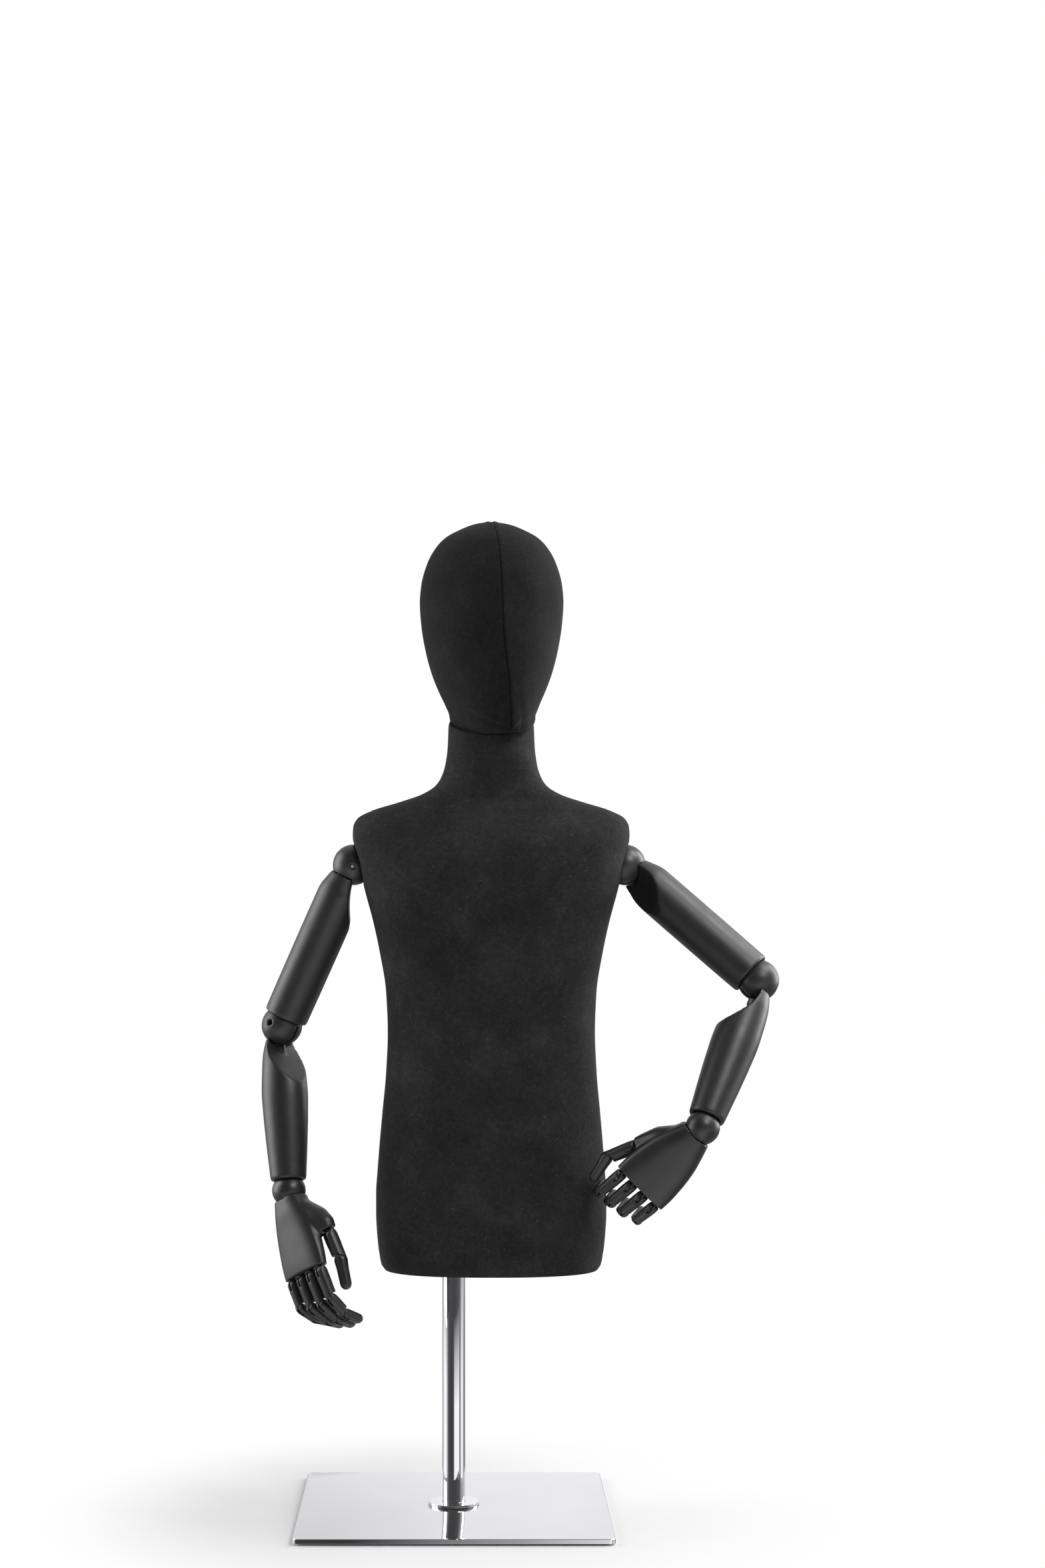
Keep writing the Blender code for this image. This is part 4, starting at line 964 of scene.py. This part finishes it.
def forearm(arm):
    start, way = arm.elbow, arm.fore
    node = "forearm_" + arm.side
    inward = ortho(-arm.upper, way)
    across = np.cross(way, inward)
    axes = (way, inward, arm.elbow_pin)
    ob = turned(node + "_wood", start, way, sampled(FORE_OUTLINE) + FORE_LIP, 110,
                axes=(inward, across, way))
    cut_scoop(ob, start, way, inward, across, arm.fore_twist, arm.fore_scoop, count=28, top=42)
    limb_joints(ob, start, arm.wrist, axes, end_cup=WRIST_CUP_R, bore_depth=32,
                bore_radius=4.45, tongue_edge=2.6, hole=ELBOW_HOLE_R)
    if arm.has_dowel_hole:   # small hole above the wrist
        side_way = unit(ortho(vec(0.42, -1.0, 0), way))
        place = start + 139.5 * way
        boolean(ob, rod("dowel", place + 13 * side_way, place + 30 * side_way, 1.1, 20))
    finish_limb(ob, node, start, axes)


# =============================================================== hands
# (distance from the wrist, half size)
PALM_HALF_WIDTH = curve([(PALM_START, 16.2), (22, 20.8), (38, 25.4), (58, 28.4), (74, 29.4),
                         (PALM_LEN, 29.2)])
PALM_HALF_DEPTH = curve([(PALM_START, 13.8), (22, 13.6), (38, 12.2), (58, 10.6), (76, 9.2),
                         (PALM_LEN, 8.2)])
HULL_COUNT = 40
BALL_WAYS = [vec(math.cos(a) * math.cos(b), math.sin(a) * math.cos(b), math.sin(b))
             for a in np.linspace(0, 2 * math.pi, 24, endpoint=False)
             for b in np.linspace(-1.4, 1.4, 13)]

Part = namedtuple("Part", "centre hinge way length radius")


def hand_vector(arm, place):
    return place[0] * arm.hand, place[1] * arm.thumbward, place[2] * arm.palmward


def hand_point(arm, place):
    along, across, depth = hand_vector(arm, place)
    return arm.wrist + along + across + depth


def hand_way(arm, way):
    along, across, depth = hand_vector(arm, way)
    return unit(along + across + depth)


def thumb_chain(arm):
    base = hand_point(arm, arm.thumb_base)
    first, second = (hand_way(arm, way) for way in arm.thumb_ways)
    hinge = ortho(arm.thumbward, first)
    sign = np.sign(np.dot(np.cross(hinge, first), arm.palmward))
    return [Part(base, hinge * sign, first, THUMB_LENGTHS[0], THUMB_RADII[0]),
            Part(base + THUMB_LENGTHS[0] * first, unit(np.cross(first, second)), second,
                 THUMB_LENGTHS[1], THUMB_RADII[1])]


def finger_chain(arm, name):
    pitches, lengths, radii = FINGERS[name]
    hinge = unit(np.cross(arm.hand, arm.palmward))
    centre = hand_point(arm, (PALM_LEN + radii[0] + KNUCKLE_GAP, FINGER_PITCH * pitches, 0))
    chain, bend = [], 0.0
    for curl, length, radius in zip(arm.curls[name], lengths, radii):
        bend += math.radians(curl)
        way = math.cos(bend) * arm.hand + math.sin(bend) * arm.palmward
        chain.append(Part(centre, hinge, way, length, radius))
        centre = centre + length * way
    return chain


def thumb_mound(arm, thumb, face):
    """Heel of the thumb, from the wrist to the flat face under the thumb."""
    hand, thumbward, palmward = arm.hand, arm.thumbward, arm.palmward
    rings = [oval(arm.wrist + 13.0 * hand + 1.5 * thumbward, thumbward, palmward,
                  14.5, 12.0, HULL_COUNT, 2.2)]
    centre = hand_point(arm, (29, 11, 6))
    radius = 13.6
    for along, size in ((-0.8, 0.6), (-0.35, 0.937), (0.15, 0.989), (0.6, 0.8)):
        rings.append(oval(centre + radius * along * hand, thumbward, palmward,
                          radius * size, radius * size * 0.94, HULL_COUNT, 2.0))
    across = ortho(thumbward, thumb.way)
    depth = np.cross(thumb.way, across)
    rings.append(oval(face - 8 * thumb.way, across, depth, 8.9, 9.1, HULL_COUNT, 2.1))
    rings.append(oval(face, across, depth, 7.4, 7.4, HULL_COUNT, 2.1))
    rings.append(rings[-1] + 5 * thumb.way)
    swell = hand_point(arm, arm.swell)
    rings.append([swell + 12.9 * way for way in BALL_WAYS])
    return hull("mound", np.vstack(rings))


def palm_ring(arm, distance, station, slimmer=0.0, thinner=0.0):
    return oval(arm.wrist + distance * arm.hand, arm.thumbward, arm.palmward * arm.palm_sign,
                PALM_HALF_WIDTH(station) - slimmer, PALM_HALF_DEPTH(station) - thinner, 72, 2.6)


def palm(arm):
    """Palm and thumb mound run into each other; the ends are cut square afterwards."""
    hand, thumbward, palmward, centre = arm.hand, arm.thumbward, arm.palmward, arm.wrist
    axes = (hand, thumbward, palmward)
    mesh_axes = (hand, thumbward, np.cross(hand, thumbward))
    rings = [palm_ring(arm, 4.0, PALM_START, slimmer=1.0, thinner=0.4)]
    rings += [palm_ring(arm, s, s) for s in np.linspace(PALM_START, PALM_LEN, 36)]
    rings.append(palm_ring(arm, PALM_LEN + 6, PALM_LEN))
    ob = loft("palm_%s_wood" % arm.side, rings)
    thumb = thumb_chain(arm)[0]
    face = thumb.centre - (thumb.radius + KNUCKLE_GAP) * thumb.way
    boolean(ob, thumb_mound(arm, thumb, face), "UNION")
    remesh(ob, 1.2, 14, centre, mesh_axes)
    boolean(ob, slab("knuckle_cut", centre, axes, (PALM_LEN, -60, -60), (PALM_LEN + 40, 60, 60)))
    boolean(ob, slab("wrist_cut", centre, axes, (-40, -60, -60), (8.8, 60, 60)))
    boolean(ob, turned("thumb_cut", face, thumb.way, [(0, 8.8), (7.0, 9.3)], 64))
    boolean(ob, ball("cup", centre, WRIST_CUP_R, hand))
    boolean(ob, slab("tongue", centre, (hand, palmward, thumbward),
                     (-3.7, -WRIST_TONGUE_HALF, -1.1), (24, WRIST_TONGUE_HALF, 1.1)), "UNION")
    knuckles = [(finger_chain(arm, name)[0], hand) for name in FINGERS]
    for part, way in knuckles + [(thumb, thumb.way)]:
        boolean(ob, slab("plate", part.centre, (way, np.cross(way, part.hinge), part.hinge),
                         (-part.radius - HINGE_ROOT, -HINGE_R, -HINGE_HALF_T),
                         (HINGE_R, HINGE_R, HINGE_HALF_T)), "UNION")
    remesh(ob, 0.85, 3, centre, mesh_axes)
    put_wood(ob, "palm_" + arm.side, "hand_" + arm.side, centre, axes)


def finger_profile(part, following):
    """(distance from the hinge, half depth, width as a share of the radius)"""
    length, radius = part.length, part.radius
    profile = [(-radius * math.cos(a), radius * math.sin(a), 0.90 + 0.10 * math.sin(a))
               for a in np.linspace(0.10, math.pi / 2, 9)]
    if following is None:
        body_end = length - 1.05 * radius
        profile += [(body_end * share, radius * (1.0 - 0.06 * share), 1.0 - 0.05 * share)
                    for share in (0.35, 0.7, 1.0)]
        profile += [(body_end + 1.05 * radius * math.sin(a),
                     radius * 0.94 * (0.06 + 0.94 * math.cos(a)),
                     0.95 * (0.10 + 0.90 * math.cos(a) ** 0.8))
                    for a in np.linspace(0.2, math.pi / 2 - 0.08, 8)]
    else:
        end = following.radius
        taper = end / radius
        middle = 0.4 + 0.6 * taper
        profile += [(length * 0.25, radius, 1.0), (length * 0.55, radius * middle, middle),
                    (length * 0.8, end * 1.005, taper * 1.005), (length - 0.5, end, taper)]
    return profile


def cut_knuckle(ob, part, following):
    """Hollows the far end for the next part and adds the plate its fork rides on."""
    centre, hinge, reach = following.centre, following.hinge, following.radius
    way = ortho(part.way, hinge)
    axes = (way, np.cross(way, hinge), hinge)
    boolean(ob, rod("knuckle", centre - 14 * hinge, centre + 14 * hinge, reach + 0.32, 64))
    boolean(ob, slab("front", centre, axes, (-0.3, -14, -14), (14, 14, 14)))
    boolean(ob, slab("under", centre, axes, (-reach - 0.45, -14, -14),
                     (14, 0.12 * part.radius, 14)))
    root = -reach - HINGE_ROOT
    outline = [(root, -HINGE_R), (0, -HINGE_R)]
    outline += [(HINGE_R * math.cos(a), HINGE_R * math.sin(a)) for a in np.linspace(-1.3, 1.3, 9)]
    outline += [(0, HINGE_R), (root, HINGE_R)]
    boolean(ob, prism("plate", centre, axes, outline, HINGE_HALF_T), "UNION")


def finger_part(node, part, following):
    centre, hinge, way, _, radius = part
    depth = np.cross(way, hinge)
    profile = finger_profile(part, following)
    if node.startswith("thumb_distal"):
        # a little slimmer than the frame, so that the closed hand does not pinch it
        profile = [(s, h * 0.91, w * 0.91) if s > 3 else (s, h, w) for s, h, w in profile]
    ob = loft(node + "_wood", [oval(centre + s * way, hinge, depth, radius * w, h, 40, 2.45)
                               for s, h, w in profile])
    if following is not None:
        cut_knuckle(ob, part, following)
    boolean(ob, slab("fork", centre, (way, depth, hinge),
                     (-radius - 2, -radius - 2, -1.2), (4.3, radius + 2, 1.2)))
    round_edges(ob, 0.28, 38)
    put_wood(ob, node, node, centre, (way, depth, hinge))


def digit(arm, name, chain, labels):
    for label, part, following in zip(labels, chain, chain[1:] + [None]):
        finger_part("%s_%s_%s" % (name, label, arm.side), part, following)


for arm in ARMS:
    shoulder(arm)
    upper_arm(arm)
    elbow(arm)
    forearm(arm)
    wrist(arm)
    palm(arm)
    digit(arm, "thumb", thumb_chain(arm), ("proximal", "distal"))
    for name in FINGERS:
        digit(arm, name, finger_chain(arm, name), ("proximal", "middle", "distal"))


# =============================================================== stand
def rounded_square(half, radius, z, steps=14):
    ring = []
    for x_sign, y_sign, start in ((1, 1, 0), (-1, 1, 90), (-1, -1, 180), (1, -1, 270)):
        for k in range(steps + 1):
            a = math.radians(start + 90.0 * k / steps)
            ring.append((x_sign * (half - radius) + radius * math.cos(a),
                         y_sign * (half - radius) + radius * math.sin(a), z))
    return np.array(ring)


def base_plate():
    edge = [(0.9, 0.0), (0.35, 0.12), (0.0, 0.5)]   # (inset from the side, depth from the face)
    levels = [(i, BASE_TOP - PLATE_T + z) for i, z in edge]
    levels += [(i, BASE_TOP - z) for i, z in edge[::-1]]
    plate = loft("base_plate_mirror",
                 [rounded_square(BASE_SIDE / 2 - i, BASE_CORNER_R - i, z) for i, z in levels])
    hole = [(0, 9.2), (1.2, 9.2), (4.2, 4.6), (9, 4.6)]   # (height, radius)
    boolean(plate, turned("hole", ORIGIN, UP, hole, 48))
    shade(plate, 25)
    put(plate, "base_plate", "stand", MIRROR)


def pole_flange():
    top = BASE_TOP + 3.2
    profile = [(POLE_FOOT, 11.25), (POLE_FOOT, FLANGE_R), (BASE_TOP + 2.5, FLANGE_R),
               (BASE_TOP + 2.9, FLANGE_R - 0.15), (BASE_TOP + 3.15, FLANGE_R - 0.5),
               (top, FLANGE_R - 1.0), (top, 11.6), (BASE_TOP + 3.0, 11.25)]
    flange = turned("pole_flange_chrome", ORIGIN, UP, profile, 160, loop=True)
    shade(flange, 25)
    put(flange, "pole_flange", "stand", CHROME)


def pole_tube():
    profile = [(POLE_FOOT, 4.5), (POLE_FOOT, POLE_R), (POLE_TOP - 1, POLE_R),
               (POLE_TOP - 0.3, POLE_R - 0.3), (POLE_TOP, POLE_R - 1), (POLE_TOP, POLE_BORE_R),
               (BASE_TOP + 14, POLE_BORE_R), (BASE_TOP + 14, 4.5)]
    pole = turned("pole_tube_chrome", ORIGIN, UP, profile, 128, loop=True)
    shade(pole, 25)
    put(pole, "pole_tube", "stand", CHROME)


def height_collar():
    # (height from the collar's middle, radius)
    profile = [(-4.2, 11.35), (-4.2, 17.4), (-3.9, 17.85), (-3.5, 18.0), (3.5, 18.0),
               (3.9, 17.85), (4.2, 17.4), (4.2, 11.35)]
    collar = turned("height_collar_steel", ORIGIN, UP,
                    [(COLLAR_Z + z, r) for z, r in profile], 96, loop=True)
    boolean(collar, rod("hole", vec(0, 8, COLLAR_Z), vec(0, 30, COLLAR_Z), 2.9, 32))
    shade(collar, 30)
    put(collar, "height_collar", "collar", STEEL)


def collar_screw():
    """Knurled thumb screw at the back of the collar."""
    # (distance from the pole axis, radius, share of the full knurl)
    stations = [(11.6, 1.6, 0), (12.2, 2.4, 0), (18.6, 2.4, 0), (18.6, 3.6, 0), (18.9, 3.9, 0.3),
                (19.6, 4.0, 1), (29.0, 4.0, 1), (30.0, 3.9, 0.3), (30.6, 3.3, 0)]
    count, ridges = 96, 24
    t = np.arange(count) * 2 * math.pi / count
    wave = 0.5 + 0.5 * np.cos(t * ridges)
    profile = [(s, (r - knurl * 0.22 * wave)[:, None]) for s, r, knurl in stations]
    screw = turned("collar_screw_knurled", vec(0, 0, COLLAR_Z), vec(0, 1, 0), profile, count)
    shade(screw, 35)
    put(screw, "collar_screw", "collar_screw", STEEL)


base_plate()
pole_flange()
pole_tube()
height_collar()
collar_screw()

# frame pieces kept as they are, each with its own finish
for node, material in (("base_pad", RUBBER), ("base_bolt", STEEL), ("torso_shell", FIBRE),
                       ("base_board", PLY), ("pole_socket", STEEL), ("head_core", FIBRE),
                       ("head_spigot", STEEL)):
    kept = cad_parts[node]
    finish = material.copy()
    finish.name = "finish_" + node
    if not kept.material_slots:
        kept.data.materials.append(finish)
    for slot in kept.material_slots:
        slot.material = finish


# =============================================================== stage
def floor_material():
    """White floor near the base, fading with distance into an even white glow."""
    material, tree, shader = new_material("floor_white")
    distance = add_node(tree, "VectorMath", operation="LENGTH", Vector=object_coords(tree))
    fade = add_node(tree, "MapRange", From_Min=0.17, From_Max=0.42,
                    interpolation_type="SMOOTHSTEP", Value=distance.outputs["Value"])
    # full strength for the camera, 0.55 for all other rays
    camera_ray = add_node(tree, "LightPath").outputs["Is Camera Ray"]
    strength = math_node(tree, "ADD", math_node(tree, "MULTIPLY", camera_ray, 0.45), 0.55)
    glow = add_node(tree, "Emission", Color=(1, 1, 1, 1), Strength=strength)
    set_node(tree, shader, Base_Color=(0.93, 0.93, 0.93, 1), Roughness=0.9,
             Specular_IOR_Level=0.0)
    blend = add_node(tree, "MixShader", Fac=fade.outputs["Result"])
    tree.links.new(shader.outputs["BSDF"], blend.inputs[1])
    tree.links.new(glow.outputs["Emission"], blend.inputs[2])
    set_node(tree, tree.nodes.get("Material Output"), Surface=blend.outputs["Shader"])
    return material


def studio_floor():
    half, z = 6, -0.0004   # metres
    corners = [(-half, -half, z), (half, -half, z), (half, half, z), (-half, half, z)]
    mesh = bpy.data.meshes.new("studio_floor")
    mesh.from_pydata(corners, [], [(0, 1, 2, 3)])
    floor = bpy.data.objects.new("studio_floor", mesh)
    SCENE.objects.link(floor)
    dress(floor, floor_material())
    floor.visible_glossy = False


# Grey levels round the horizon, as (degrees from -Y towards +X, level).
BANDS_LEVEL = [(-180, 0.10), (-140, 0.10), (-130, 1.0), (-82, 1.0), (-72, 0.50), (-62, 0.20),
               (-52, 0.060), (-4, 0.050), (3, 0.42), (8, 1.0), (54, 1.0), (60, 0.20),
               (70, 0.13), (77, 0.95), (102, 1.0), (110, 0.38), (132, 0.30), (146, 0.12),
               (180, 0.10)]
SOFT_ABOVE = [(-180, 0.92), (-176, 0.80), (-150, 0.60), (-110, 0.50), (-75, 0.30), (-50, 0.07),
              (10, 0.06), (60, 0.10), (85, 0.40), (125, 0.60), (150, 0.75), (176, 0.96),
              (180, 0.93)]
LOW_BELOW = [(-180, 0.35), (-120, 0.33), (-60, 0.22), (-28, 0.75), (-6, 1.0), (14, 0.85),
             (38, 0.25), (70, 0.10), (120, 0.30), (180, 0.35)]


def studio_world():
    """Light bands for reflections, dimmed for diffuse rays and white to the camera."""
    world = bpy.data.worlds.new("studio")
    bpy.context.scene.world = world
    world.use_nodes = True
    tree = world.node_tree
    generated = add_node(tree, "TexCoord").outputs["Generated"]
    way = add_node(tree, "SeparateXYZ", Vector=generated).outputs
    azimuth = math_node(tree, "ARCTAN2", way["X"], math_node(tree, "MULTIPLY", way["Y"], -1.0))
    turn = math_node(tree, "ADD", math_node(tree, "DIVIDE", azimuth, 2 * math.pi), 0.5)
    bands, above, below = (
        ramp(tree, turn, [((degrees + 180) / 360.0, level) for degrees, level in table])
        for table in (BANDS_LEVEL, SOFT_ABOVE, LOW_BELOW))
    lift = add_node(tree, "MapRange", From_Min=-0.09, From_Max=0.03, Value=way["Z"])
    drop = add_node(tree, "MapRange", From_Min=-0.235, From_Max=-0.285, Value=way["Z"])
    light = mix(tree, lift.outputs["Result"], bands, above)
    light = mix(tree, drop.outputs["Result"], light, below)
    ray = add_node(tree, "LightPath").outputs
    calm = mix(tree, 1.0, light, (0.55, 0.55, 0.56, 1), "MULTIPLY")
    light = mix(tree, ray["Is Diffuse Ray"], light, calm)
    seen = mix(tree, ray["Is Camera Ray"], light, (1, 1, 1, 1))
    set_node(tree, tree.nodes.get("Background"), Color=seen, Strength=1.0)


def softbox(name, place, target, size, power):
    light = bpy.data.lights.new(name, "AREA")
    light.shape, light.energy = "RECTANGLE", power
    light.size, light.size_y = size
    ob = bpy.data.objects.new(name, light)
    SCENE.objects.link(ob)
    ob.location = place
    ob.rotation_euler = (Vector(target) - Vector(place)).to_track_quat("-Z", "Y").to_euler()
    ob.visible_camera = False


def camera():
    data = bpy.data.cameras.new("camera")
    data.lens, data.sensor_width, data.sensor_fit = 64.6, 36.0, "AUTO"
    data.shift_x, data.shift_y = 0.0438, 0.0676
    data.clip_start, data.clip_end = 0.05, 50
    ob = bpy.data.objects.new("camera", data)
    SCENE.objects.link(ob)
    ob.location = (0, -2.75, 0.606)
    ob.rotation_euler = (math.radians(90), 0, 0)
    bpy.context.scene.camera = ob


studio_floor()
studio_world()
softbox("softbox_left", place=(-1.75, 0.24, 1.0), target=(0, 0, 0.55), size=(1.35, 1.8), power=23)
softbox("softbox_right", place=(1.65, 0.75, 1.1), target=(0.1, 0, 0.6), size=(0.9, 1.6), power=24)
softbox("softbox_high", place=(1.15, -0.18, 1.95), target=(0.2, 0, 0.55), size=(0.8, 0.8),
        power=12)
softbox("softbox_key", place=(1.05, -1.44, 1.9), target=(0.05, 0, 0.55), size=(0.6, 0.8),
        power=15)
camera()
bpy.context.scene.view_settings.view_transform = "Standard"
bpy.context.scene.view_settings.look = "None"

bpy.context.view_layer.update()
